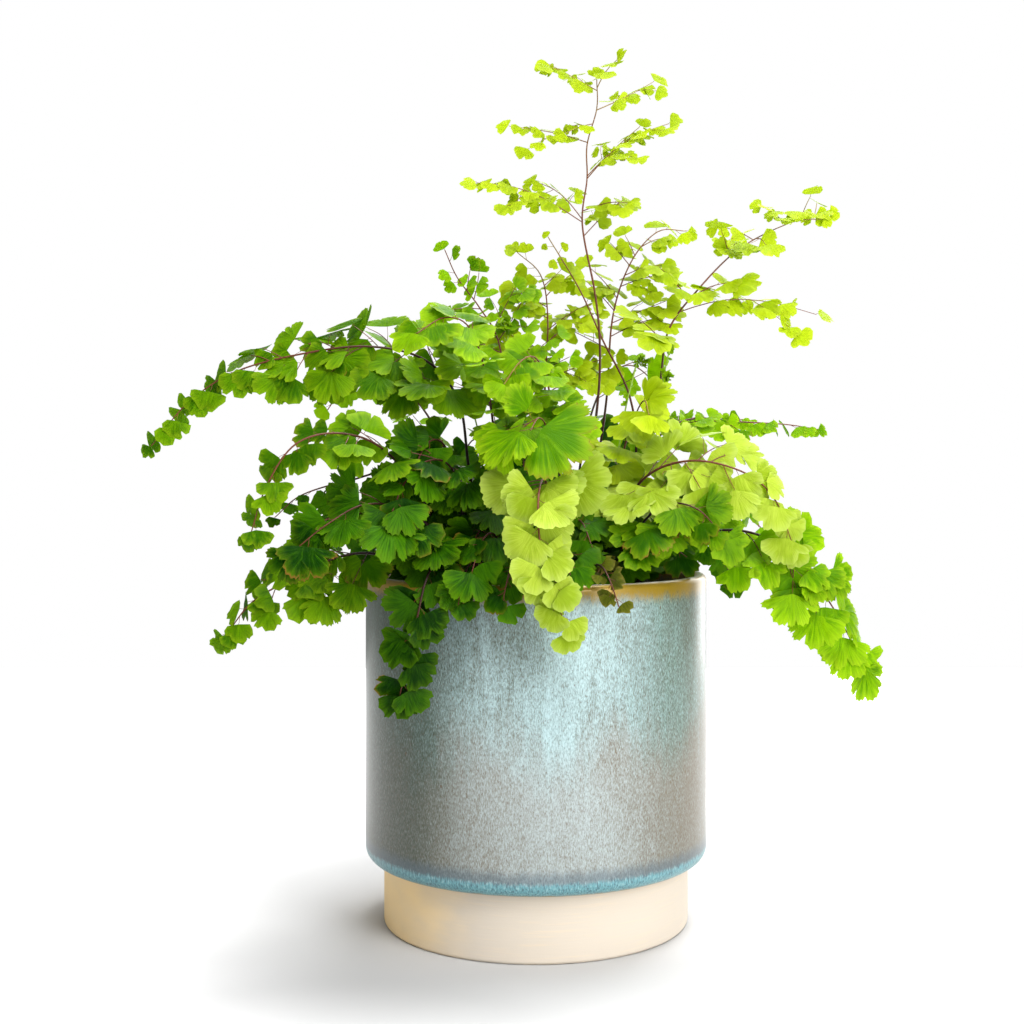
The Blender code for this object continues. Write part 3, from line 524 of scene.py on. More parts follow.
@dataclass(frozen=True)
class Habit:
    """How the fern grows.

    First come the stems: their radii, how they stand in the soil, and how side stems are spaced, swept and
    drawn at random. Then the leaflets: thickness, clearance, spacing, droop, roll, size and half angle, in
    degrees where they are angles. turns and swings are what a leaflet and a side stem in the way try one
    after another: two angles and a share of the size. The rest is how the fern fills out: side stems between
    the first, twigs on long side stems, and leaflets whose outer parts may overlap.
    """

    stem_base: float = 1.0 * MM
    stem_tip: float = 0.6 * MM
    side_stem: float = 0.5 * MM
    soil_top: float = 128 * MM
    buried: float = 10 * MM
    straight_out: float = 5 * MM
    curve_step: float = 2 * MM
    straightest: float = 0.6 * MM
    crowding: float = 0.35
    last_gap: float = 0.5
    shortening: float = 0.9
    length: tuple = (0.85, 1.1)
    sweep: float = 32
    sweep_rise: float = 14
    sweep_draw: float = 6
    shortest_side_stem: float = 9 * MM
    stalk: float = 2.5 * MM
    dip: float = 0.15
    spray_bare: float = 0.28
    spray_growth: float = 1.3
    blade: float = 0.65 * MM
    clearance: float = 0.35 * MM
    joined: float = 0.3
    leaflet_first: float = 0.5
    leaflet_last: float = 0.4
    leaflet_fall: float = 0.2
    leaflet_step: float = 1.55
    leaflet_sweep: float = 30
    facing: float = 1.5
    droop: tuple = (8, 42)
    roll: float = 22
    size: tuple = (0.85, 1.12)
    spread: tuple = (50, 62)
    turns: tuple = ((0, 0, 1), (20, 0, 1), (-20, 0, 1), (0, 18, 1), (0, -18, 1), (38, 10, 0.9),
                    (-38, 10, 0.9), (15, 30, 0.85), (-15, -25, 0.85), (0, 0, 0.75), (30, -20, 0.7),
                    (-30, 25, 0.7))
    swings: tuple = ((0, 0, 1), (14, 0, 1), (-14, 0, 1), (0, 14, 1), (0, -14, 1), (20, 15, 0.8),
                     (-20, -15, 0.8), (0, 25, 0.7), (0, -25, 0.7), (0, 0, 0.5))
    leafless: float = 0.9
    between: tuple = (0.5,)
    between_high: tuple = (0.5, 0.25, 0.75)
    high: float = 290
    side_clearance: float = 0.2 * MM
    twig_from: float = 12 * MM
    twig_first: float = 0.3
    twig_last: float = 0.85
    twig_step: float = 1.6
    twig_sweep: tuple = (30, 50)
    twig_dip: tuple = (-0.1, 0.3)
    twig_length: tuple = (0.4, 0.6)
    twig_least: float = 3 * MM
    twig_bare: float = 0.25
    twig_fine: float = 0.9
    twig_draw: tuple = (0.8, 1.2)
    fill_last: float = 0.3
    fill_apart: float = 0.7
    fill_size: float = 1.02
    fill_fall: float = 0.25
    fill_step: float = 0.62
    fill_sweep: tuple = (18, 40)
    tried: int = 9
    overlap: float = 0.3
    core: float = 0.3 * MM
    core_start: float = 0.35


HABIT = Habit()
# All that the filling keeps clear of.
OWNERS = ["pot", "soil", "undergrowth"] + [f.name for f in FRONDS]


@dataclass(frozen=True)
class Filling:
    """What a frond fills out in: the space with all leaflets at their real size, and draws of its own."""

    space: Space
    draws: random.Random


class Growth:
    """A frond's stem, side stems and leaflets, as they grow one after another."""

    def __init__(self, frond: Frond, number: int) -> None:
        """Lays the main stem.

        Args:
            frond: what grows.
            number: its place in the list, which seeds its draws.
        """
        self.frond = frond
        self.random = random.Random(number)
        x, y = frond.root[0] * MM, frond.root[1] * MM
        low = Vector((x, y, HABIT.soil_top - HABIT.buried))
        high = Vector((x, y, HABIT.soil_top + HABIT.straight_out))
        route = [high, *(Vector(p) * MM for p in frond.route)]
        self.smooth = [low, *curve_through(low, route, HABIT.curve_step)]
        self.line = Line([low, *simplified(self.smooth[1:], HABIT.straightest)])
        self.first = frond.bare * self.line.length
        leafy = self.line.at(self.line.length)[0] - self.line.at(self.first)[0]
        self.side = leafy.cross(leaning(frond.plane)).normalized()
        self.face = leaning(frond.tilt)
        self.side_stems: list[SideStem] = []
        self.tip: Leaflet | None = None

    def others(self, kind: str) -> list[str]:
        """What the frond keeps clear of: the pot, the soil and the other fronds."""
        return ["pot", "soil"] + [f.name + kind for f in FRONDS if f is not self.frond]

    def side_stem_places(self) -> list[float]:
        """The distances at which side stems leave the stem, closer together towards its tip."""
        places, at = [], self.first
        while at < self.line.length - HABIT.last_gap * self.frond.gap * MM:
            places.append(at)
            at += self.frond.gap * MM * (1 - HABIT.crowding * self.share(at))
        return places

    def share(self, distance: float) -> float:
        """How far along the leafy stretch a distance is, from 0 to 1."""
        return (distance - self.first) / (self.line.length - self.first)

    def leaf_radius(self, distance: float) -> float:
        """The radius that the leaflets at a distance along the stem are spaced by."""
        first, last = self.frond.leaf
        return (first + (last - first) * self.share(distance)) * MM

    def stem(self) -> Shape:
        """The main stem."""
        return prism(self.line, self.side, (HABIT.stem_base, HABIT.stem_tip))

    def regular(self, distance: float, hand: int, draws: random.Random) -> tuple:
        """A side stem of the regular kind.

        Args:
            distance: where it leaves the main stem.
            hand: 1 to the right, -1 to the left.
            draws: random draws.

        Returns:
            Its distance, the way across, the way out, its length, its leaflets' radius, its bare share, and
            the radius to which its leaflets are drawn.
        """
        ahead = self.line.at(distance)[1]
        share = self.share(distance)
        length = self.frond.reach * MM * (1 - share) ** HABIT.shortening * draws.uniform(*HABIT.length)
        sweep = math.radians(HABIT.sweep + HABIT.sweep_rise * share
                             + draws.uniform(-HABIT.sweep_draw, HABIT.sweep_draw))
        across = (self.side - ahead * self.side.dot(ahead)).normalized() * hand
        out = (across * math.cos(sweep) + ahead * math.sin(sweep) - UP * HABIT.dip).normalized()
        if length < HABIT.shortest_side_stem:
            length = HABIT.stalk
        return distance, across, out, length, self.leaf_radius(distance), 0.0, self.fine_radius(distance)

    def wanted_side_stems(self) -> Iterator[tuple]:
        """Every side stem that the stem wants, as regular gives it."""
        for share, end, radius in self.frond.sprays:
            distance = share * self.line.length
            foot, ahead = self.line.at(distance)
            out = Vector(end) * MM - foot
            across = (out - ahead * out.dot(ahead)).normalized()
            fine = radius * MM * (HABIT.spray_growth if radius < 10 else 1.0)
            yield distance, across, out.normalized(), out.length, radius * MM, HABIT.spray_bare, fine
        for k, distance in enumerate([] if self.frond.sprays else self.side_stem_places()):
            yield self.regular(distance, 1 if k % 2 else -1, self.random)

    def side_stem(self, k: int, wanted: tuple, space: Space, others: Sequence[str],
                  thick: float) -> SideStem | None:
        """Grows one side stem, swung clear of the other fronds.

        Args:
            k: its number on the main stem.
            wanted: the side stem, as regular gives it.
            space: what is there already.
            others: the owners to keep clear of.
            thick: the radius that is kept clear.

        Returns:
            The side stem, or None where nothing is clear.
        """
        distance, across, out, length, radius, bare, fine = wanted
        foot, ahead = self.line.at(distance)
        for along, lift, part in HABIT.swings:
            swing = Matrix.Rotation(math.radians(along), 3, across.cross(ahead))
            raised = Matrix.Rotation(math.radians(lift), 3, out.cross(UP).normalized())
            line = Line([foot, foot + raised @ (swing @ out) * (length * part)])
            side = line.at(0)[1].cross(self.face).normalized()
            if space.free(prism(line, side, (thick, thick)), others):
                return SideStem(k, line, radius, side, distance, bare, fine)
        return None

    def grow_side_stems(self, space: Space) -> None:
        """Grows the side stems of the solids."""
        others = self.others("")
        for k, wanted in enumerate(self.wanted_side_stems()):
            made = self.side_stem(k, wanted, space, others, HABIT.side_stem + HABIT.clearance)
            if made:
                space.add(self.frond.name, prism(made.line, made.side, (HABIT.side_stem, HABIT.side_stem)))
                self.side_stems.append(made)

    def leaflet_places(self, stem: SideStem) -> Iterator[Leaflet]:
        """Every leaflet that a side stem wants, from its foot to its end."""
        length, radius = stem.line.length, stem.radius
        at, hand = max(HABIT.leaflet_first * radius, stem.bare * length), 1 if stem.number % 2 else -1
        while length > HABIT.shortest_side_stem / 2 and at < length - HABIT.leaflet_last * radius:
            foot, ahead = stem.line.at(at)
            heading = swept(stem.side * hand, ahead, HABIT.leaflet_sweep)
            size = radius * (1 - HABIT.leaflet_fall * at / length)
            yield self.leaflet(foot, heading, ahead, size, self.random, at / length)
            at += HABIT.leaflet_step * radius
            hand = -hand
        foot, ahead = stem.line.at(length)
        yield self.leaflet(foot, ahead, stem.side, radius, self.random, 1.0)

    def leaflet(self, foot: Vector, heading: Vector, ahead: Vector, radius: float,
                draws: random.Random, share: float) -> Leaflet:
        """A leaflet that droops below its heading, with its face up and out and a little roll of its own.

        Args:
            foot: where it leaves its stem.
            heading: the way that it starts.
            ahead: the direction that its stem has there.
            radius: its size before its own draw.
            draws: random draws.
            share: how far along its side stem it stands.

        Returns:
            The leaflet.
        """
        droop = math.radians(draws.uniform(*HABIT.droop))
        heading = (heading * math.cos(droop) - UP * math.sin(droop)).normalized()
        normal = ahead.cross(heading).normalized()
        if normal.dot(self.face) < 0:
            normal.negate()
        normal += HABIT.facing * (self.face - heading * self.face.dot(heading))
        normal = Matrix.Rotation(math.radians(draws.uniform(-HABIT.roll, HABIT.roll)), 3, heading) @ normal
        normal = (normal - heading * normal.dot(heading)).normalized()
        size = radius * draws.uniform(*HABIT.size)
        return Leaflet(foot, heading, normal, size, draws.uniform(*HABIT.spread), share)

    def placed(self, leaflet: Leaflet, space: Space, others: Sequence[str]) -> Leaflet | None:
        """The leaflet, turned clear of the other fronds and of its own, or None where nothing is clear."""
        own = self.frond.name + " leaflets"
        for turn in HABIT.turns:
            tried = leaflet.turned(*turn)
            if not space.free(tried.fan(HABIT.blade + 2 * HABIT.clearance, HABIT.clearance), others):
                continue
            if space.free(tried.fan(HABIT.blade, 0, HABIT.joined), [self.frond.name, own]):
                space.add(own, tried.fan(HABIT.blade))
                return tried
        return None

    def grow_leaflets(self, space: Space) -> None:
        """Grows the leaflets, each turned clear of what is there or left off."""
        others = self.others("") + self.others(" leaflets")
        for stem in self.side_stems:
            for wanted in self.leaflet_places(stem):
                leaflet = self.placed(wanted, space, others)
                if leaflet:
                    stem.leaflets.append(leaflet)
        foot, ahead = self.line.at(self.line.length)
        wanted = self.leaflet(foot, ahead, self.side, self.leaf_radius(self.line.length), self.random, 1.0)
        self.tip = self.placed(wanted, space, others)

    def fine_radius(self, distance: float) -> float:
        """The radius to which the leaflets at a distance along the stem are drawn."""
        first, last = self.frond.fine
        return (first + (last - first) * min(1, max(0, self.share(distance)))) * MM

    def shrink(self) -> None:
        """Brings the leaflets that stand for the solid's to the size of the real ones."""
        for stem in self.side_stems:
            size = stem.fine / stem.radius
            for leaflet in stem.leaflets:
                leaflet.radius *= size
        if self.tip:
            self.tip.radius *= self.fine_radius(self.line.length) / self.leaf_radius(self.line.length)

    def fill_out(self, filling: Filling) -> None:
        """Grows more side stems between the first ones, and more leaflets on all of them."""
        if not self.frond.full:
            return
        first = list(self.side_stems)
        if not self.frond.sprays and self.frond.bare < HABIT.leafless:
            for between in HABIT.between_high if self.frond.route[-1][2] > HABIT.high else HABIT.between:
                self.add_side_stems(between, filling)
        for stem in list(self.side_stems):
            self.add_twigs(stem, filling.draws)
        for stem in self.side_stems:
            self.fill_stem(stem, stem in first, filling)

    def grow_within(self, filling: Filling) -> None:
        """Grows the frond in the room that the others leave."""
        for between in (0.0, 0.5):
            self.add_side_stems(between, filling)
        for stem in self.side_stems:
            self.fill_stem(stem, False, filling)

    def add_side_stems(self, between: float, filling: Filling) -> None:
        """Adds a side stem after each regular place.

        Args:
            between: the share of the way to the next place.
            filling: where it grows.
        """
        places = self.side_stem_places()
        for k, (here, after) in enumerate(zip(places, [*places[1:], self.line.length])):
            hand = 1 if (k % 2) == (between == 0) else -1
            wanted = self.regular(here + between * (after - here), hand, filling.draws)
            made = self.side_stem(k + 1, wanted, filling.space, OWNERS, HABIT.side_clearance)
            if made:
                self.side_stems.append(made)

    def add_twigs(self, stem: SideStem, draws: random.Random) -> None:
        """Gives a long side stem short twigs left and right in turn.

        Args:
            stem: the side stem.
            draws: random draws of the filling alone.
        """
        length, share = stem.line.length, HABIT.twig_first
        hand = draws.choice((1, -1))
        while length > HABIT.twig_from and share < HABIT.twig_last:
            foot, ahead = stem.line.at(share * length)
            out = swept(stem.side * hand, ahead, draws.uniform(*HABIT.twig_sweep))
            out = out - UP * draws.uniform(*HABIT.twig_dip)
            far = length * (1 - share) * draws.uniform(*HABIT.twig_length) + HABIT.twig_least
            line = Line([foot, foot + out.normalized() * far])
            side = line.at(0)[1].cross(self.face).normalized()
            self.side_stems.append(SideStem(
                stem.number + 1, line, stem.radius, side, stem.origin, HABIT.twig_bare,
                HABIT.twig_fine * stem.fine, parent=stem, place=share))
            share += HABIT.twig_step * draws.uniform(*HABIT.twig_draw) * stem.fine / length
            hand = -hand

    def fill_stem(self, stem: SideStem, old: bool, filling: Filling) -> None:
        """Puts leaflets on both hands of a side stem, between those that are there.

        Args:
            stem: the side stem.
            old: whether it has its first leaflets already.
            filling: where they grow.
        """
        radius, length, draws = stem.fine, stem.line.length, filling.draws
        taken = [(leaflet.share * length, leaflet.heading.dot(stem.side)) for leaflet in stem.leaflets]
        at, hand = max(HABIT.leaflet_first * radius, stem.bare * length), -1 if stem.number % 2 else 1
        while at < length - HABIT.fill_last * radius:
            if not any(abs(at - d) < HABIT.fill_apart * radius and h * hand > 0 for d, h in taken):
                foot, ahead = stem.line.at(at)
                heading = swept(stem.side * hand, ahead, draws.uniform(*HABIT.fill_sweep))
                size = radius * (HABIT.fill_size - HABIT.fill_fall * at / length)
                wanted = self.leaflet(foot, heading, ahead, size, draws, at / length)
                self.squeeze_in(stem, wanted, filling.space)
            at += HABIT.fill_step * radius
            hand = -hand
        if not old:
            foot, ahead = stem.line.at(length)
            self.squeeze_in(stem, self.leaflet(foot, ahead, stem.side, radius, draws, 1.0), filling.space)

    def squeeze_in(self, stem: SideStem, wanted: Leaflet, space: Space) -> None:
        """Gives a side stem one more leaflet if it fits between the others, turned a little if need be."""
        for turn in HABIT.turns[:HABIT.tried]:
            tried = wanted.turned(*turn)
            core = tried.core()
            if space.free(core, OWNERS):
                space.add(self.frond.name, core)
                stem.leaflets.append(tried)
                return


# Surfaces


# The point values that the finishes read.
VALUES = ("span", "reach", "leaf", "under")


class Surface:
    """Points, faces and point values of one piece, gathered as whole arrays."""

    def __init__(self) -> None:
        """Starts empty."""
        self.points: list[np.ndarray] = []
        self.faces: list[tuple[np.ndarray, int]] = []
        self.values: dict[str, list[np.ndarray]] = {name: [] for name in VALUES}
        self.count = 0

    def add(self, points: np.ndarray, faces: Sequence[np.ndarray], finish: int = 0,
            **values: np.ndarray | float) -> None:
        """Adds a surface.

        Args:
            points: an array whose last axis is x, y and z.
            faces: arrays of corner numbers, one face to a row.
            finish: which of the piece's finishes the faces take.
            **values: point values by name, each of the points' shape or one number.
        """
        self.faces += [(block + self.count, finish) for block in faces]
        for name in VALUES:
            value = np.broadcast_to(values.get(name, 0.0), points.shape[:-1])
            self.values[name].append(value.ravel())
        self.points.append(points.reshape(-1, 3))
        self.count += len(self.points[-1])

    def piece(self, name: str, finishes: Sequence[bpy.types.Material], slot: str,
              nodes: Sequence[str] = (), sharp: float = 50.0) -> bpy.types.Object:
        """Makes the gathered surface a piece of the object.

        Args:
            name: the piece's name.
            finishes: its materials, in the order of the faces' finish numbers.
            slot: a material slot of the record; not used.
            nodes: the solids that it stands for.
            sharp: the angle in degrees from which an edge is drawn sharp.

        Returns:
            The new object.
        """
        mesh = bpy.data.meshes.new(name)
        points = np.concatenate(self.points)
        sizes = np.concatenate([np.full(len(block), block.shape[1]) for block, _ in self.faces])
        corners = np.concatenate([block.ravel() for block, _ in self.faces])
        mesh.vertices.add(len(points))
        mesh.vertices.foreach_set("co", points.astype(np.float32).ravel())
        mesh.loops.add(len(corners))
        mesh.loops.foreach_set("vertex_index", corners.astype(np.int32))
        mesh.polygons.add(len(sizes))
        mesh.polygons.foreach_set("loop_start", (np.cumsum(sizes) - sizes).astype(np.int32))
        finish = np.concatenate([np.full(len(block), number) for block, number in self.faces])
        mesh.polygons.foreach_set("material_index", finish.astype(np.int32))
        mesh.update(calc_edges=True)
        for value in VALUES:
            made = mesh.attributes.new(value, "FLOAT", "POINT")
            made.data.foreach_set("value", np.concatenate(self.values[value]).astype(np.float32))
        mesh.validate()
        mesh.shade_smooth()
        mesh.set_sharp_from_angle(angle=math.radians(sharp))
        for material in finishes:
            mesh.materials.append(material)
        obj = bpy.data.objects.new(name, mesh)
        bpy.context.scene.collection.objects.link(obj)
        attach(obj, "root")
        if nodes:
            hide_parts(*nodes)
        LOG.info("%s: %d faces", name, len(sizes))
        return obj


def unit(vectors: np.ndarray) -> np.ndarray:
    """The vectors brought to length one."""
    return vectors / np.maximum(np.linalg.norm(vectors, axis=-1, keepdims=True), 1e-12)


def tubes(paths: np.ndarray, radii: np.ndarray, sides: int,
          level: np.ndarray | None = None) -> tuple[np.ndarray, list[np.ndarray]]:
    """Closed round tubes along many paths at once.

    A ring's point is the path's point plus the radius times cos(a) along one axis and sin(a) along another,
    both square to the path.

    Args:
        paths: points of each path, as [tube, point, xyz].
        radii: radius at each of them, as [tube, point].
        sides: corners in each ring.
        level: a direction that no path runs along, where +Z or +X won't do.

    Returns:
        The points as [tube, ring, corner, xyz], and the faces.
    """
    ahead = unit(np.gradient(paths, axis=1))
    lead = np.abs(unit(paths[:, -1] - paths[:, 0])[:, 2])
    if level is None:
        level = np.where(lead[:, None] < 0.8, [[0.0, 0.0, 1.0]], [[1.0, 0.0, 0.0]])[:, None]
    side = unit(np.cross(ahead, level))
    over = np.cross(side, ahead)
    turn = 2 * np.pi * np.arange(sides) / sides
    ring = np.cos(turn)[:, None] * side[:, :, None] + np.sin(turn)[:, None] * over[:, :, None]
    points = paths[:, :, None] + radii[:, :, None, None] * ring
    index = np.arange(points[..., 0].size).reshape(points.shape[:3])
    low, high = index[:, :-1], index[:, 1:]
    quads = np.stack([low, high, np.roll(high, -1, 2), np.roll(low, -1, 2)], -1).reshape(-1, 4)
    return points, [quads, index[:, 0], index[:, -1, ::-1]]


def revolved(profile: np.ndarray, sides: int) -> tuple[np.ndarray, list[np.ndarray]]:
    """A surface turned about +Z, with a pole in place of each ring of radius 0.

    A point is (r cos a, r sin a, z) for each ring (r, z) of the profile, which starts and ends on the axis.

    Args:
        profile: radius and height of each ring, from the pole below over the outside to the pole within.
        sides: corners in each ring.

    Returns:
        The points, and the faces as triangles at the poles, then quads ring by ring.
    """
    turn = 2 * np.pi * np.arange(sides) / sides
    rings = profile[1:-1]
    points = np.stack([rings[:, :1] * np.cos(turn), rings[:, :1] * np.sin(turn),
                       np.repeat(rings[:, 1:], sides, axis=1)], -1).reshape(-1, 3)
    first, last = [0, 0, profile[0, 1]], [0, 0, profile[-1, 1]]
    index = np.arange(len(points)).reshape(len(rings), sides)
    low, high = index[:-1], index[1:]
    quads = np.stack([low, np.roll(low, -1, 1), np.roll(high, -1, 1), high], -1).reshape(-1, 4)
    foot = np.stack([np.roll(index[0], -1), index[0], np.full(sides, len(points))], -1)
    top = np.stack([index[-1], np.roll(index[-1], -1), np.full(sides, len(points) + 1)], -1)
    return np.concatenate([points, [first, last]]), [foot, quads, top]


@dataclass(frozen=True)
class Fan:
    """A leaflet's grid and form: lobes across its edge, steps in each lobe, rings from its foot to its edge.

    The pairs are what is drawn at random between: what the edge loses at both ends and how it skews, the sag
    and the cup of the blade, the height and number of its waves, and its ruffle.
    """

    lobes: int
    steps: int
    rings: int
    thickness: float = 0.22 * MM
    ring_power: float = 0.75
    bite: float = 0.94
    bite_depth: float = 0.755
    narrowing: tuple[float, float] = (0.08, 0.2)
    skew: tuple[float, float] = (-0.08, 0.08)
    sag: tuple[float, float] = (0.02, 0.24)
    cup: tuple[float, float] = (-0.16, 0.12)
    wave: tuple[float, float] = (0.01, 0.06)
    waves: tuple[float, float] = (3, 7)
    ruffle: tuple[float, float] = (-0.02, 0.06)
    start: tuple[float, float] = (0, 6.3)

    def grid(self) -> tuple[np.ndarray, np.ndarray, np.ndarray, list[np.ndarray]]:
        """The grid: one point at the foot, an upper sheet, and a lower one that shares the border.

        Returns:
            Reach from 0 at the foot to 1 at the edge, span from -1 to 1 across, side from -1 below to 1 above
            (0 on the border), and the faces.
        """
        across = self.lobes * self.steps
        upper = 1 + np.arange(self.rings * (across + 1)).reshape(self.rings, across + 1)
        lower = upper.copy()
        inner = np.arange((self.rings - 1) * (across - 1)).reshape(self.rings - 1, across - 1)
        lower[:-1, 1:-1] = upper.max() + 1 + inner
        count = max(lower.max(), upper.max()) + 1
        reach, span, side = np.zeros(count), np.zeros(count), np.zeros(count)
        out = (np.arange(1, self.rings + 1) / self.rings) ** self.ring_power
        for sheet, value in ((upper, 1.0), (lower, -1.0)):
            reach[sheet] = out[:, None]
            span[sheet] = np.linspace(-1, 1, across + 1)
            side[sheet[:-1, 1:-1]] = value
        faces = []
        for sheet, order in ((upper, 1), (lower, -1)):
            foot = np.stack([np.zeros(across, int), sheet[0, :-1], sheet[0, 1:]], -1)
            quads = np.stack([sheet[:-1, :-1], sheet[1:, :-1], sheet[1:, 1:], sheet[:-1, 1:]], -1)
            faces += [foot[:, ::order], quads.reshape(-1, 4)[:, ::order]]
        return reach, span, side, faces

    def leaflets(self, foot: np.ndarray, heading: np.ndarray, normal: np.ndarray, radius: np.ndarray,
                 spread: np.ndarray, edge: Edge,
                 draws: np.random.Generator) -> tuple[np.ndarray, list[np.ndarray], dict[str, np.ndarray]]:
        """Many leaflets at once.

        At reach r and span t a point lies at angle t times the spread and at r times the edge's radius there.
        The edge's radius is 1, less a round bite between each two lobes, less a share of |t| cubed, plus or
        minus a tooth at each step. The height over the flat fan is a sag with the square of the way forwards,
        a cup with the square of the way sideways, and a wave across and a ruffle in each lobe that grow with
        the square of r.

        Args:
            foot: where each one leaves its stalk, as [leaflet, xyz].
            heading: the way each one points.
            normal: the way each one's face looks.
            radius: its length from the foot to the edge.
            spread: half the angle of the fan, in radians.
            edge: how the outer edge is cut.
            draws: random draws.

        Returns:
            The points as [leaflet, point, xyz], the faces, and the point values by name.
        """
        reach, span, side, faces = self.grid()
        n = len(foot)
        depth, tooth = edge.value

        def draw(between: tuple[float, float]) -> np.ndarray:
            """A draw for each leaflet."""
            return draws.uniform(*between, (n, 1))

        place = (span + 1) / 2 * self.lobes
        within = 2 * (place - np.floor(place)) - 1
        bite = (1 - np.sqrt(1 - self.bite * within**2)) / self.bite_depth
        cleft = depth * (0.8 + 0.45 * np.cos(4.3 * span + draw(self.start)))
        step = np.round((span + 1) / 2 * self.lobes * self.steps)
        outer = 1 - cleft * bite - draw(self.narrowing) * np.abs(span) ** 3 + draw(self.skew) * span
        jag = np.where(step % 2 == 0, -1, 1) * (0.75 + 0.35 * np.sin(2.6 * step + draw(self.start)))
        outer = outer + tooth * jag * (reach > 0.99)
        angle = (span + 0.09 * np.sin(np.pi * span * 2 + draw(self.start))) * spread[:, None]
        forth, aside = reach * outer * np.cos(angle), reach * outer * np.sin(angle)
        height = (-draw(self.sag) * forth**2 + draw(self.cup) * aside**2
                  + draw(self.wave) * reach**2 * np.sin(span * draw(self.waves) + draw(self.start))
                  + draw(self.ruffle) * reach**2 * (within**2 - 0.4))
        height = height + side * self.thickness / 2 / radius[:, None]
        across = np.cross(normal, heading)
        points = foot[:, None] + radius[:, None, None] * (
            forth[..., None] * heading[:, None] + aside[..., None] * across[:, None]
            + height[..., None] * normal[:, None])
        total = len(reach)
        blocks = [(block[None] + total * np.arange(n)[:, None, None]).reshape(-1, block.shape[1])
                  for block in faces]
        leaf = np.repeat(draws.uniform(0, 1, (n, 1)), total, axis=1)
        values = {"span": np.tile(span, (n, 1)), "reach": np.tile(reach, (n, 1)), "leaf": leaf,
                  "under": np.tile(side, (n, 1))}
        return points, blocks, values


# Finishes


class Socket:
    """One output of a node, on which Python's operators add Math nodes."""

    def __init__(self, shader: Shader, socket: bpy.types.NodeSocket) -> None:
        """Wraps a socket of a shader."""
        self.shader = shader
        self.socket = socket

    def __add__(self, other: Socket | float) -> Socket:
        """The sum."""
        return self.shader.math("ADD", self, other)

    __radd__ = __add__

    def __sub__(self, other: Socket | float) -> Socket:
        """The difference."""
        return self.shader.math("SUBTRACT", self, other)

    def __rsub__(self, other: Socket | float) -> Socket:
        """The difference from a number."""
        return self.shader.math("SUBTRACT", other, self)

    def __mul__(self, other: Socket | float) -> Socket:
        """The product."""
        return self.shader.math("MULTIPLY", self, other)

    def __truediv__(self, other: Socket | float) -> Socket:
        """The quotient."""
        return self.shader.math("DIVIDE", self, other)

    def above(self, low: float, high: float) -> Socket:
        """0 below low, 1 above high and a smooth rise between."""
        return self.shader.node("ShaderNodeMapRange", {"interpolation_type": "SMOOTHSTEP"},
                                {0: self, 1: low, 2: high, 3: 0.0, 4: 1.0})

    def wave(self) -> Socket:
        """A triangle wave from 0 to 1 that has its length in the whole numbers."""
        return self.shader.math("PINGPONG", self, 0.5) * 2.0


class Shader:
    """A material's nodes in the making."""

    def __init__(self, name: str) -> None:
        """Starts a material with nothing but its output."""
        self.material = bpy.data.materials.new(name)
        self.material.use_nodes = True
        self.tree = self.material.node_tree
        self.tree.nodes.clear()

    def node(self, kind: str, settings: dict[str, object] | None = None,
             inputs: dict[int | str, object] | None = None, output: int | str = 0) -> Socket | None:
        """Adds a node.

        Args:
            kind: its type.
            settings: what is set on it first.
            inputs: a value or a Socket for each of its inputs, by name or number.
            output: the output that is wanted, by name or number.

        Returns:
            That output, or None where the node has none.
        """
        made = self.tree.nodes.new(kind)
        for name, value in (settings or {}).items():
            setattr(made, name, value)
        for name, value in (inputs or {}).items():
            if isinstance(value, Socket):
                self.tree.links.new(value.socket, made.inputs[name])
            elif isinstance(value, tuple) and len(made.inputs[name].default_value) == 4:
                made.inputs[name].default_value = (*value, 1)
            else:
                made.inputs[name].default_value = value
        return Socket(self, made.outputs[output]) if made.outputs else None

    def math(self, operation: str, *values: Socket | float) -> Socket:
        """A Math node of an operation on one or two values."""
        return self.node("ShaderNodeMath", {"operation": operation}, dict(enumerate(values)))

    def mix(self, first: Socket | tuple, second: Socket | tuple, share: Socket | float) -> Socket:
        """The first colour with a share of the second laid over it."""
        return self.node("ShaderNodeMix", {"data_type": "RGBA"}, {0: share, 6: first, 7: second}, 2)

    def value(self, name: str) -> Socket:
        """One of the piece's point values."""
        return self.node("ShaderNodeAttribute", {"attribute_name": name}, output="Fac")

    def place(self, stretch: tuple[float, float, float] = (1, 1, 1)) -> Socket:
        """The place on the object in metres, each axis times a number of its own."""
        place = self.node("ShaderNodeTexCoord", output="Object")
        return self.node("ShaderNodeVectorMath", {"operation": "MULTIPLY"}, {0: place, 1: stretch})

    def along(self, axis: str) -> Socket:
        """The place along X, Y or Z in millimetres."""
        return self.node("ShaderNodeSeparateXYZ", {}, {0: self.place()}, axis) / MM

    def vector(self, *parts: Socket) -> Socket:
        """A vector from its three parts."""
        return self.node("ShaderNodeCombineXYZ", {}, dict(enumerate(parts)))

    def noise(self, place: Socket, size: float, detail: float = 2.0, rough: float = 0.5) -> Socket:
        """Soft noise from 0 to 1 whose lumps are about size metres."""
        return self.node("ShaderNodeTexNoise", {},
                         {"Vector": place, "Scale": 1 / size, "Detail": detail, "Roughness": rough})

    def bump(self, height: Socket, depth: float, strength: float = 1.0) -> Socket:
        """A bump whose height from 0 to 1 stands for a depth in metres."""
        return self.node("ShaderNodeBump", {}, {"Height": height, "Distance": depth, "Strength": strength})

    def principled(self, **inputs: Socket | float | tuple) -> Socket:
        """A Principled BSDF; an input's name is written with _ for a space."""
        return self.node("ShaderNodeBsdfPrincipled", {}, {k.replace("_", " "): v for k, v in inputs.items()})

    def finish(self, surface: Socket) -> bpy.types.Material:
        """Links the surface to the output and hands over the material."""
        self.node("ShaderNodeOutputMaterial", {}, {"Surface": surface})
        return self.material


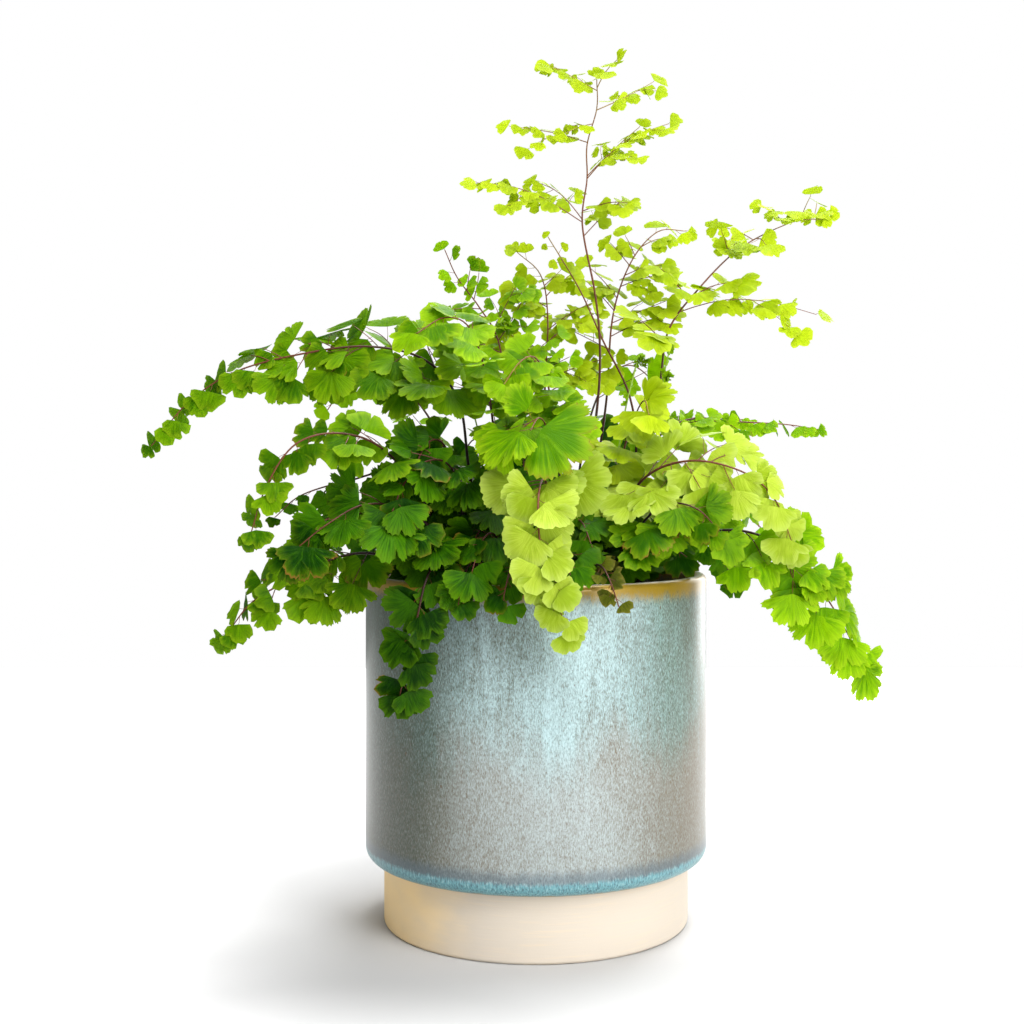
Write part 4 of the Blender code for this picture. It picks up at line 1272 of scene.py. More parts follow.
@dataclass(frozen=True)
class LeafFinish:
    """A thin leaflet: veins that fan out from its foot, a paler margin, and light through the blade.

    browned is the share of leaflets with brown tips, through the share of light that passes, and veins how
    many there are on each half.
    """

    name: str
    dark: Colour
    light: Colour
    margin: Colour
    glow: Colour
    brown: Colour = (0.16, 0.075, 0.012)
    browned: float = 0.06
    roughness: float = 0.42
    through: float = 0.45
    veins: float = 11.0

    def material(self) -> bpy.types.Material:
        """The finish as a material."""
        s = Shader(self.name)
        span, reach, leaf, under = (s.value(name) for name in VALUES)
        patches = s.noise(s.place(), 7 * MM, 3.0, 0.6)
        streaks = s.noise(s.vector(span * 7.0, reach * 1.3, leaf * 41.0), 1.0, 3.0, 0.65)
        threads = s.noise(s.vector(span * 24.0, reach * 1.6, leaf * 67.0), 1.0, 1.0)
        coarse = (span * self.veins).wave().above(0.78, 1.0)
        fine = (span * (2 * self.veins) + 0.5).wave().above(0.65, 1.0) * reach.above(0.4, 0.7)
        vein = s.math("MAXIMUM", coarse, fine) * reach.above(0.05, 0.25)
        bright = leaf * 0.5 + patches * 0.4 + (streaks - 0.5) * 0.8 + (threads - 0.5) + reach * 0.1 + 0.06
        colour = s.mix(self.dark, self.light, bright.above(0.2, 1.0))
        colour = s.mix(colour, self.dark, vein * 0.3)
        colour = s.mix(colour, self.margin, (reach + (streaks - 0.5) * 0.35).above(0.6, 1.15) * 0.45)
        colour = s.mix(colour, self.margin, under.above(-0.2, -1.0) * 0.25)
        ends = reach.above(0.88, 1.0) * (1.0 - leaf).above(1 - self.browned, 1.0 - 0.3 * self.browned)
        ends = ends * patches.above(0.35, 0.6)
        colour = s.mix(colour, self.brown, ends)
        normal = s.bump(vein * -0.2 + streaks * 0.3 + patches * 1.4, 0.35 * MM, 0.7)
        front = s.principled(Base_Color=colour, Roughness=self.roughness, Normal=normal,
                             Specular_IOR_Level=0.07)
        behind = s.node("ShaderNodeBsdfTranslucent", {}, {"Color": self.glow, "Normal": normal})
        share = (1.0 - ends) * self.through
        return s.finish(s.node("ShaderNodeMixShader", {}, {0: share, 1: front, 2: behind}))


@dataclass(frozen=True)
class StemFinish:
    """A wiry stem: near-black at its foot, red-brown above and green at its young end."""

    name: str
    foot: Colour = (0.016, 0.006, 0.004)
    middle: Colour = (0.15, 0.042, 0.018)
    end: Colour = (0.30, 0.22, 0.03)
    roughness: float = 0.45

    def material(self) -> bpy.types.Material:
        """The finish as a material."""
        s = Shader(self.name)
        along = s.value("reach") + (s.noise(s.place(), 9 * MM, 2.0) - 0.5) * 0.25
        colour = s.mix(self.foot, self.middle, along.above(0.25, 0.7))
        colour = s.mix(colour, self.end, along.above(0.75, 1.1))
        grain = s.noise(s.place((1, 1, 0.2)), 0.5 * MM, 2.0)
        return s.finish(s.principled(Base_Color=colour, Roughness=self.roughness,
                                     Normal=s.bump(grain, 0.05 * MM, 0.5), Specular_IOR_Level=0.25))


@dataclass(frozen=True)
class GlazeFinish:
    """A reactive glaze: a pale film in fine mottles over a darker ground, amber where it is thin at the lip.

    The film is aqua above and grey below, and it runs. At both sides it is darker: painted shade, which also
    stands for the glaze's dark streaks there, and on the left more painted shade darkens it further. The very
    top of the lip is paler, partly the glaze's own pale edge and partly a painted highlight. Where the glaze
    pooled at its lower edge it is turquoise under a dark line. Heights and widths are in millimetres.
    """

    name: str = "glazed_stoneware"
    aqua: Colour = (0.39, 0.54, 0.56)
    mist: Colour = (0.365, 0.43, 0.435)
    # This colour and the next are the darker film at both sides: painted shade that also stands for dark
    # streaks.
    deep: Colour = (0.085, 0.17, 0.135)
    side_streak_and_shade_grey: Colour = (0.135, 0.135, 0.105)
    teal: Colour = (0.055, 0.058, 0.026)
    taupe: Colour = (0.115, 0.082, 0.040)
    amber: Colour = (0.27, 0.165, 0.0)
    pool: Colour = (0.13, 0.31, 0.34)
    line: Colour = (0.06, 0.10, 0.13)
    speck: Colour = (0.09, 0.042, 0.014)
    # Painted shade for the left side of the pot.
    shade: Colour = (0.014, 0.032, 0.014)

    def material(self) -> bpy.types.Material:
        """The finish as a material."""
        s = Shader(self.name)
        height, across = s.along("Z"), s.along("X")
        aside = s.math("ABSOLUTE", across - 3.0)
        runs = s.noise(s.place((1, 1, 0.09)), 3.2 * MM, 3.0, 0.6)
        clouds = s.noise(s.place((1, 1, 0.5)), 30 * MM, 3.0, 0.55)
        mottle = s.noise(s.place((1, 1, 0.28)), 0.34 * MM, 2.0, 0.6)
        blots = s.noise(s.place((1, 1, 0.45)), 1.5 * MM, 3.0, 0.6)
        upper = (height + (runs - 0.5) * 26.0 + (clouds - 0.5) * 60.0).above(66.0, 100.0)
        # Darker at both sides: painted shade that also stands for the glaze's dark streaks.
        side_shade_and_streaks = (aside + (runs - 0.5) * 22.0 + (clouds - 0.5) * 30.0).above(22.0, 58.0)
        # Painted shade on the left side.
        left = (0.0 - across + (clouds - 0.5) * 30.0).above(12.0, 62.0)
        uneven = (0.5 - mottle) * 1.4
        ground = s.mix(self.taupe, self.teal, upper)
        film = s.mix(self.mist, self.aqua, upper)
        film = s.mix(film, s.mix(self.side_streak_and_shade_grey, self.deep, upper), side_shade_and_streaks * (uneven + 0.72))
        amount = ((mottle - 0.5) * 1.15 + (blots - 0.5) * 0.3 + (clouds - 0.5) * 0.6
                  + (runs - 0.5) * (0.15 + upper * 0.35))
        colour = s.mix(ground, film, (amount - side_shade_and_streaks * 0.12).above(-0.5, 0.36))
        # Painted shade: the left side darkened.
        colour = s.mix(colour, self.shade, left * (uneven + 0.76))
        dots = s.node("ShaderNodeTexVoronoi", {}, {"Vector": s.place((1, 1, 0.6)), "Scale": 150.0})
        colour = s.mix(colour, self.speck, (1.0 - dots).above(0.925, 0.96) * clouds.above(0.45, 0.6) * 0.7)
        grain = s.noise(s.place((1, 1, 0.7)), 0.6 * MM, 1.0)
        colour = s.mix(colour, self.speck, grain.above(0.58, 0.72) * 0.35)
        colour = s.mix(colour, self.line, (height + (runs - 0.5) * 4.0).above(38.5, 33.5) * 0.6)
        pooled = (height + (runs - 0.5) * 2.5 + (mottle - 0.5) * 3.0).above(33.0, 31.0)
        colour = s.mix(colour, self.pool, pooled)
        flecks = s.noise(s.place((1, 1, 0.3)), 0.55 * MM, 2.0, 0.6)
        edge = height.above(34.0, 32.0)
        colour = s.mix(colour, self.line, flecks.above(0.48, 0.66) * 0.75 * edge)
        colour = s.mix(colour, self.aqua, flecks.above(0.44, 0.30) * 0.5 * edge)
        thin = (height + (runs - 0.5) * 7.0 + (mottle - 0.5) * 9.0).above(133.5, 139.0)
        colour = s.mix(colour, self.amber, thin * 0.95)
        # The top of the lip is paler: partly the glaze's own pale edge, partly a painted highlight.
        colour = s.mix(colour, self.mist, height.above(141.5, 142.0) * 0.5)
        colour = s.mix(colour, self.amber, (height + (runs - 0.5) * 2.0).above(27.6, 27.0) * 0.7)
        normal = s.bump(mottle * 0.3 + runs * 0.6 + blots * 0.3, 0.12 * MM, 0.3)
        return s.finish(s.principled(Base_Color=colour, Roughness=0.26 + mottle * 0.1, Metallic=thin * 0.15,
                                     Normal=normal, Specular_IOR_Level=0.36, Coat_Weight=0.06,
                                     Coat_Roughness=0.1))


@dataclass(frozen=True)
class ClayFinish:
    """Bare cream clay with faint turning lines, and painted orange light that brightens its left side."""

    name: str = "bare_clay"
    cream: Colour = (0.645, 0.57, 0.475)
    # The orange of the turning lines, and of the painted bounce light on the left side.
    warm_tint_and_light: Colour = (1.0, 0.74, 0.38)
    speck: Colour = (0.45, 0.28, 0.13)

    def material(self) -> bpy.types.Material:
        """The finish as a material."""
        s = Shader(self.name)
        lines = s.noise(s.place((0.05, 0.05, 1)), 0.9 * MM, 3.0, 0.6)
        clouds = s.noise(s.place((1, 1, 2)), 24 * MM, 2.0, 0.5)
        sand = s.noise(s.place(), 0.4 * MM, 2.0, 0.7)
        # The left side brightened and tinted orange: painted bounce light.
        warm_painted_light = (s.along("X") * -1.0 + (clouds - 0.5) * 30.0).above(18.0, 62.0)
        colour = s.mix(self.cream, self.warm_tint_and_light, warm_painted_light)
        colour = s.mix(colour, self.warm_tint_and_light, lines.above(0.5, 0.85) * 0.2)
        colour = s.mix(colour, self.speck, sand.above(0.7, 0.8) * 0.4)
        return s.finish(s.principled(Base_Color=colour, Roughness=0.8,
                                     Normal=s.bump(lines * 0.7 + sand * 0.4, 0.15 * MM, 0.5)))


@dataclass(frozen=True)
class SoilFinish:
    """Dark crumbly peat with paler fibres."""

    name: str = "potting_soil"
    dark: Colour = (0.012, 0.008, 0.005)
    light: Colour = (0.075, 0.045, 0.026)
    fibre: Colour = (0.16, 0.1, 0.055)

    def material(self) -> bpy.types.Material:
        """The finish as a material."""
        s = Shader(self.name)
        lumps = s.noise(s.place(), 3 * MM, 4.0, 0.7)
        fibres = s.noise(s.place((1, 0.12, 1)), 0.8 * MM, 2.0, 0.6)
        colour = s.mix(self.dark, self.light, lumps.above(0.35, 0.75))
        colour = s.mix(colour, self.fibre, fibres.above(0.66, 0.8) * 0.6)
        return s.finish(s.principled(Base_Color=colour, Roughness=0.95,
                                     Normal=s.bump(lumps + fibres * 0.4, 1.2 * MM, 0.9)))


# The object's pieces


@dataclass(frozen=True)
class Pot:
    """The pot: a turned wall with a narrower foot and a rounded lip, glazed above its bare foot."""

    foot_radius: float = 62.5 * MM
    foot_bevel: float = 1.5 * MM
    body_radius: float = 70 * MM
    body_bottom: float = 26.5 * MM
    body_corner: float = 5 * MM
    height: float = 142 * MM
    wall: float = 5 * MM
    foot_wall: float = 6 * MM
    floor: float = 8 * MM
    step_top: float = 37 * MM
    solid_sides: int = 48
    sides: int = 192
    finer: int = 4
    wall_rings: int = 40
    waver: float = 0.1 * MM
    fade: float = 8 * MM

    def outside(self, steps: int) -> list[tuple[float, float]]:
        """The outline from the edge of the base up to the wall, with this many times the solid's steps."""
        line = arc((self.foot_radius - self.foot_bevel, self.foot_bevel), self.foot_bevel, -90, 0, 2 * steps)
        line.append((self.foot_radius, self.body_bottom))
        centre = (self.body_radius - self.body_corner, self.body_bottom + self.body_corner)
        return line + arc(centre, self.body_corner, -80, 0, 3 * steps)

    def lip(self, steps: int) -> list[tuple[float, float]]:
        """The outline over the lip, with this many times the solid's steps."""
        half = self.wall / 2
        return arc((self.body_radius - half, self.height - half), half, 0, 180, 4 * steps)

    def inside(self) -> list[tuple[float, float]]:
        """The outline down the inner wall to the edge of the floor."""
        inner_foot = self.foot_radius - self.foot_wall
        return [(self.body_radius - self.wall, self.step_top),
                (inner_foot, self.body_bottom + self.foot_bevel),
                (inner_foot, self.floor + self.body_corner), (inner_foot - self.body_corner, self.floor)]

    def solid(self) -> Shape:
        """The pot as the fern keeps clear of it."""
        return turned(self.outside(1) + self.lip(1) + self.inside(), self.solid_sides)

    def build(self) -> bpy.types.Object:
        """Makes the pot, turned finely, with an outer wall that wavers.

        There a ring's radius grows by the waver times sin(2a + 30 z) times sin(3a - 50 z), which fades out at
        both ends of the wall.
        """
        low, high = self.body_bottom + self.body_corner, self.height - self.wall / 2
        body = [(self.body_radius, float(z)) for z in np.linspace(low, high, self.wall_rings + 2)[1:-1]]
        line = [(0, 0), *self.outside(self.finer), *body, *self.lip(self.finer), *self.inside(),
                (0, self.floor)]
        points, (base, quads, top) = revolved(np.array(line), self.sides)
        turn = np.arctan2(points[:, 1], points[:, 0])
        z = points[:, 2]
        upright = np.clip((z - low) / self.fade, 0, 1) * np.clip((high - z) / self.fade, 0, 1)
        outer = np.hypot(points[:, 0], points[:, 1]) > self.body_radius - 1 * MM
        waver = self.waver * upright * outer * np.sin(2 * turn + z * 30) * np.sin(3 * turn - z * 50)
        points[:, :2] *= 1 + waver[:, None] / self.body_radius
        bare = self.sides * (2 * self.finer + 1)
        surface = Surface()
        surface.add(points, [base, quads[:bare]], 1)
        surface.faces += [(quads[bare:], 0), (top, 0)]
        return surface.piece("pot_turned", [GlazeFinish().material(), ClayFinish().material()],
                             "glazed_stoneware", ["pot"], 60)


@dataclass(frozen=True)
class Soil:
    """The soil: it fills the pot up to a low crumbly mound below the lip."""

    pot: Pot
    top: float = 128 * MM
    gap: float = 0.3 * MM
    lump: float = 1.3 * MM
    grain: float = 0.5 * MM
    mound: float = 2.5 * MM
    solid_sides: int = 24
    solid_rings: tuple = (0.84, 0.64, 0.44, 0.22)
    rings: int = 70
    sides: int = 180
    crumbs: int = 420
    crumb: tuple[float, float] = (0.7, 2.2)
    seed: int = 7

    def height(self, x: float | np.ndarray, y: float | np.ndarray) -> float | np.ndarray:
        """The surface: a mound, and crumbs worked out from three crossing waves."""
        rise = self.mound * (1 - (x * x + y * y) / self.pot.body_radius**2)
        waves = np.sin(x / MM * 0.31) * np.sin(y / MM * 0.27 + 1) + 0.5 * np.sin((x + y) / MM * 0.53)
        return self.top + rise + self.lump * waves / 1.5

    def walls(self) -> list[tuple[float, float]]:
        """The outline below the surface."""
        pot, gap = self.pot, self.gap
        inner, inner_foot = pot.body_radius - pot.wall - gap, pot.foot_radius - pot.foot_wall - gap
        return [(inner_foot - pot.body_corner, pot.floor + gap),
                (inner_foot, pot.floor + pot.body_corner + gap),
                (inner_foot, pot.body_bottom + pot.foot_bevel),
                (inner, pot.step_top + gap), (inner, self.top)]

    def solid(self) -> Shape:
        """The soil as the fern keeps clear of it."""
        walls = self.walls()
        inner = walls[-1][0]
        surface = [(inner * share, self.top) for share in self.solid_rings]
        points, faces = turned(walls + surface, self.solid_sides)
        loose = len(walls) * self.solid_sides
        raised = [(x, y, self.height(x, y)) for x, y, _ in points[loose:]]
        return [Vector(p) for p in points[:loose] + raised], faces

    def build(self) -> bpy.types.Object:
        """Makes the soil: the mound with finer crumbs of crossing waves on it, and loose crumbs sunk into it.

        A crumb is a ball of eight faces whose corners are pushed in and out at random.
        """
        draws = np.random.default_rng(self.seed)
        walls = np.array(self.walls())
        inner = walls[-1, 0]
        shares = np.linspace(1, 0, self.rings)[1:-1]
        flat = np.stack([inner * shares, np.full(len(shares), self.top)], -1)
        line = np.concatenate([[[0, self.pot.floor + self.gap]], walls, flat, [[0, self.top]]])
        points, faces = revolved(line, self.sides)
        x, y = points[:, 0], points[:, 1]
        loose = (points[:, 2] > self.top - MM) & (np.hypot(x, y) < inner - 0.1 * MM)
        fine = self.grain * (np.sin(x / MM * 1.9 + 2 * np.sin(y / MM * 0.8))
                             * np.sin(y / MM * 2.3 + x / MM * 0.5))
        points[loose, 2] = (self.height(x, y) + fine)[loose]
        surface = Surface()
        surface.add(points, faces)
        turn = draws.uniform(0, 2 * np.pi, self.crumbs)
        far = (inner - 3 * MM) * draws.uniform(0, 1, self.crumbs) ** 0.5
        x, y = far * np.cos(turn), far * np.sin(turn)
        size = draws.uniform(*self.crumb, self.crumbs) * MM
        middle = np.stack([x, y, self.height(x, y) + 0.2 * size], -1)
        ball = np.array([[1, 0, 0], [0, 1, 0], [-1, 0, 0], [0, -1, 0], [0, 0, 1], [0, 0, -1]], float)
        corners = ball * draws.uniform(0.6, 1.1, (self.crumbs, 6, 1))
        corners = corners + draws.uniform(-0.25, 0.25, (self.crumbs, 6, 3))
        block = np.array([[0, 1, 4], [1, 2, 4], [2, 3, 4], [3, 0, 4],
                          [1, 0, 5], [2, 1, 5], [3, 2, 5], [0, 3, 5]])
        crumb_faces = (block[None] + 6 * np.arange(self.crumbs)[:, None, None]).reshape(-1, 3)
        surface.add(middle[:, None] + size[:, None, None] * corners, [crumb_faces])
        return surface.piece("soil_crumbly", [SoilFinish().material()], "potting_soil", ["soil"], 80)


# How young a stem looks at its tip, by its frond's tone.
YOUTH = {Tone.DEEP: 0.55, Tone.FRESH: 0.75, Tone.YOUNG: 0.95}


@dataclass
class FrondPiece:
    """The fine piece of one frond: round wiry stems, hair-fine stalks and cut leaflets.

    First come the radii of the stems. A side stem longer than bent is thicker and has a bow, taper is what it
    loses in radius, and greening how much younger it looks at its tip. A leaflet stands a little forward, and
    sunk is how far its stalk reaches into it. One with a radius under small turns to facing, the more so the
    smaller it is. widened is what its half angle grows by. fans are the grids of leaflets up to a radius.
    """

    growth: Growth
    number: int
    stem_foot: float = 0.74 * MM
    stem_tip: float = 0.2 * MM
    side_stem: float = 0.24 * MM
    twig: float = 0.14 * MM
    taper: float = 0.4
    greening: float = 0.18
    bent: float = 6 * MM
    bow: float = 0.05
    stalk_radius: float = 0.11 * MM
    stalk_share: float = 0.08
    stalk_bow: float = 0.25
    sunk: float = 1.06
    forward: float = 0.8 * MM
    facing: tuple = (0, -1.0, 0.25)
    faced: float = 0.9
    small: float = 10 * MM
    smaller: float = 4 * MM
    widened: float = 1.45
    side_points: int = 9
    fans: tuple = ((5 * MM, Fan(3, 3, 2)), (8 * MM, Fan(3, 5, 2)), (11.9 * MM, Fan(4, 5, 2)),
                   (17 * MM, Fan(5, 8, 4)), (1.0, Fan(5, 12, 6)))

    def main_stem(self, surface: Surface) -> np.ndarray:
        """Adds the main stem, and gives the points of its middle."""
        middle = np.array(self.growth.smooth)
        along = np.linspace(0, 1, len(middle))
        radii = self.stem_foot + (self.stem_tip - self.stem_foot) * along
        points, faces = tubes(middle[None], radii[None], 8)
        surface.add(points, faces, 1, reach=self.age(along)[None, :, None])
        return middle

    def age(self, along: np.ndarray) -> np.ndarray:
        """How young the stem looks along it, from 0 at the soil up to nearly 1 at a young tip."""
        return along * YOUTH[self.growth.frond.tone]

    def nearest(self, middle: np.ndarray, foot: np.ndarray) -> np.ndarray:
        """The point of the main stem's smooth middle that lies nearest a foot on its straight stretches."""
        start, step = middle[:-1], np.diff(middle, axis=0)
        share = ((foot - start) * step).sum(1) / (step * step).sum(1)
        spots = start + np.clip(share, 0, 1)[:, None] * step
        return spots[np.argmin(np.linalg.norm(spots - foot, axis=1))]

    def build(self, leaf: bpy.types.Material, stem: bpy.types.Material, slot: str) -> bpy.types.Object:
        """Makes the frond.

        Args:
            leaf: the leaflets' finish.
            stem: the stems' finish.
            slot: the record's slot of the leaflets.

        Returns:
            The frond's piece.
        """
        surface = Surface()
        self.draw(surface)
        name = self.growth.frond.name
        return surface.piece(name + "_fine", [leaf, stem], slot, [name])

    def draw(self, surface: Surface) -> None:
        """Adds the frond to a surface.

        A side stem's middle at share s is foot + (tip - foot) s, moved by what its foot lies off the middle
        of the stem that carries it times (1 - s) squared, and by a bow of sin(pi s).

        Args:
            surface: the piece in the making.
        """
        growth, draws = self.growth, np.random.default_rng(self.number)
        middle = self.main_stem(surface)
        parents = {id(s.parent) for s in growth.side_stems if s.leaflets}
        stems = [s for s in growth.side_stems if s.leaflets or id(s) in parents]
        number = {id(s): k for k, s in enumerate(stems)}
        feet = np.array([s.line.points[0] for s in stems]).reshape(-1, 3)
        tips = np.array([s.line.points[-1] for s in stems]).reshape(-1, 3)
        shift = np.array([self.nearest(middle, foot) for foot in feet]).reshape(-1, 3) - feet
        length = np.linalg.norm(tips - feet, axis=1)
        bow = draws.uniform(-self.bow, self.bow, (len(stems), 3)) + [[0, 0, self.bow]]
        bow = bow * length[:, None] * (length > self.bent)[:, None]

        def along(k: np.ndarray, s: np.ndarray) -> np.ndarray:
            """The middle of side stems k at shares s."""
            return (feet[k] + (tips - feet)[k] * s[..., None] + shift[k] * (1 - s[..., None]) ** 2
                    + bow[k] * np.sin(np.pi * s[..., None]))

        twigs = [k for k, s in enumerate(stems) if s.parent]
        if twigs:
            on = np.array([number[id(stems[k].parent)] for k in twigs])
            shift[twigs] = along(on, np.array([stems[k].place for k in twigs])) - feet[twigs]
        k = np.repeat(np.arange(len(stems))[:, None], self.side_points, axis=1)
        s = np.tile(np.linspace(0, 1, self.side_points), (len(stems), 1))
        ages = self.age(np.array([stem.origin / growth.line.length for stem in stems]))
        if len(stems):
            main = np.array([s.parent is None for s in stems]) & (length > self.bent)
            radii = np.where(main[:, None], self.side_stem, self.twig) * (1 - self.taper * s)
            points, faces = tubes(along(k, s), radii, 5)
            surface.add(points, faces, 1, reach=(ages[:, None] + self.greening * s)[..., None])
        held = np.array([k for k, stem in enumerate(stems) for _ in stem.leaflets], int)
        leaflets = [leaflet for stem in stems for leaflet in stem.leaflets]
        where = along(held, np.array([leaflet.share for leaflet in leaflets], float))
        if growth.tip:
            leaflets.append(growth.tip)
            where = np.concatenate([where, middle[-1:]])
        self.add_leaflets(surface, leaflets, where, draws)

    def add_leaflets(self, surface: Surface, leaflets: Sequence[Leaflet], where: np.ndarray,
                     draws: np.random.Generator) -> None:
        """Adds the leaflets with their stalks. Small ones turn their faces to the -Y side.

        Args:
            surface: the piece in the making.
            leaflets: the leaflets.
            where: where each one's stalk leaves its stem, as [leaflet, xyz].
            draws: random draws.
        """
        heading = np.array([leaflet.heading for leaflet in leaflets])
        normal = np.array([leaflet.normal for leaflet in leaflets])
        radius = np.array([leaflet.radius for leaflet in leaflets])
        spread = np.radians([leaflet.spread for leaflet in leaflets]) * self.widened
        facing = self.facing * np.sign((normal * self.facing).sum(1, keepdims=True))
        facing = facing - (facing * heading).sum(1, keepdims=True) * heading
        amount = self.faced * np.clip((self.small - radius) / self.smaller, 0, 1)
        normal = unit(normal + facing * amount[:, None])
        stalk = self.stalk_share * radius
        ahead = normal * (self.forward * np.minimum(radius / self.small, 1.0))[:, None]
        foot = where + heading * stalk[:, None] + ahead
        share = np.array([0, 0.5, 1])[:, None]
        lift = np.sin(np.pi * share) * np.array([[0, 0, self.stalk_bow]])
        paths = where[:, None] + (foot - where)[:, None] * (share * self.sunk) + lift * stalk[:, None, None]
        radii = np.tile([1.0, 0.9, 0.8], (len(leaflets), 1)) * self.stalk_radius
        points, faces = tubes(paths, radii, 3)
        surface.add(points, faces, 1, reach=0.6)
        last = 0.0
        for limit, fan in self.fans:
            chosen = (radius >= last) & (radius < limit)
            last = limit
            if chosen.any():
                points, faces, values = fan.leaflets(
                    foot[chosen], heading[chosen], normal[chosen], (radius - stalk)[chosen], spread[chosen],
                    self.growth.frond.edge, draws)
                surface.add(points, faces, 0, **values)


@dataclass(frozen=True)
class Shoots:
    """Young shoots: thin light-green stems with rolled tips and a few leaflets that are still small.

    curl is the radius that a tip starts to roll with, closing what it falls by, and turns how often it goes
    round. rolled leaflets stand on the roll, and small ones below it.
    """

    routes: tuple = (
        ((31, 0, 130), (33, 1, 176), (34.6, 2, 195), (37.5, 3, 211), (42, 4, 229)),
        ((37, 4, 130), (43, 4, 178), (46.7, 4, 195.6), (51.7, 4, 209), (53, 4, 222), (56, 4, 236)),
        ((38, 1, 130), (44, 2, 178), (49.6, 3, 201), (52.5, 3, 209), (54.5, 3, 223)),
        ((-12, 6, 130), (-24, 5, 200), (-36, 4, 236), (-41, 3, 246)),
        ((-4, 10, 130), (-8, 10, 200), (-12, 9, 232), (-11, 8, 246)))
    stem: float = 0.26 * MM
    curl: float = 2.2 * MM
    closing: float = 0.75
    turns: float = 1.4
    curl_points: int = 23
    apart: float = 2.4
    rolled: int = 16
    small: int = 7
    size: tuple[float, float] = (1.6, 3.2)
    fan: Fan = Fan(3, 3, 2)
    seed: int = 55

    def path(self, route: Sequence[tuple[float, float, float]], side: np.ndarray) -> np.ndarray:
        """The middle of a stem and of its tip, which rolls up about a level axis as its radius falls.

        Args:
            route: the points that the stem passes, in millimetres.
            side: the level direction that the tip rolls to.

        Returns:
            Its points.
        """
        line = np.array(curve_through(Vector(route[0]) * MM, [Vector(p) * MM for p in route[1:]], 5 * MM))
        share = np.linspace(0, 1, self.curl_points + 1)[1:, None]
        angle = 2 * np.pi * self.turns * share
        size = self.curl * (1 - self.closing * share)
        roll = (self.curl - size * np.cos(angle)) * side + size * np.sin(angle) * [0, 0, 1]
        return np.concatenate([line, line[-1] + roll])

    def build(self, leaf: bpy.types.Material, stem: bpy.types.Material) -> bpy.types.Object:
        """Makes all the shoots as one piece.

        Args:
            leaf: the leaflets' finish.
            stem: the stems' finish.

        Returns:
            The piece.
        """
        surface, draws = Surface(), np.random.default_rng(self.seed)
        for number, route in enumerate(self.routes):
            turn = self.apart * number
            side = np.array([math.cos(turn), 0.4 * math.sin(turn), 0.0])
            path = self.path(route, side)
            radii = self.stem * np.linspace(1.3, 0.9, len(path))
            points, faces = tubes(path[None], radii[None], 6, np.cross(side, [0, 0, 1.0]))
            surface.add(points, faces, 1, reach=1.0)
            tip = len(path) - self.curl_points
            upper = np.linspace(0.5 * tip, tip - 1, self.small).astype(int)
            places = path[np.concatenate([draws.integers(tip, len(path), self.rolled), upper])]
            heading = unit(draws.normal(0, 1, places.shape))
            normal = unit(np.cross(heading, draws.normal(0, 1, places.shape)))
            radius = draws.uniform(*self.size, len(places)) * MM
            points, faces, values = self.fan.leaflets(places, heading, normal, radius, np.ones(len(places)),
                                                      Edge.LOBED, draws)
            surface.add(points, faces, 0, **values)
        return surface.piece("young_shoots", [leaf, stem], "leaf_fresh")


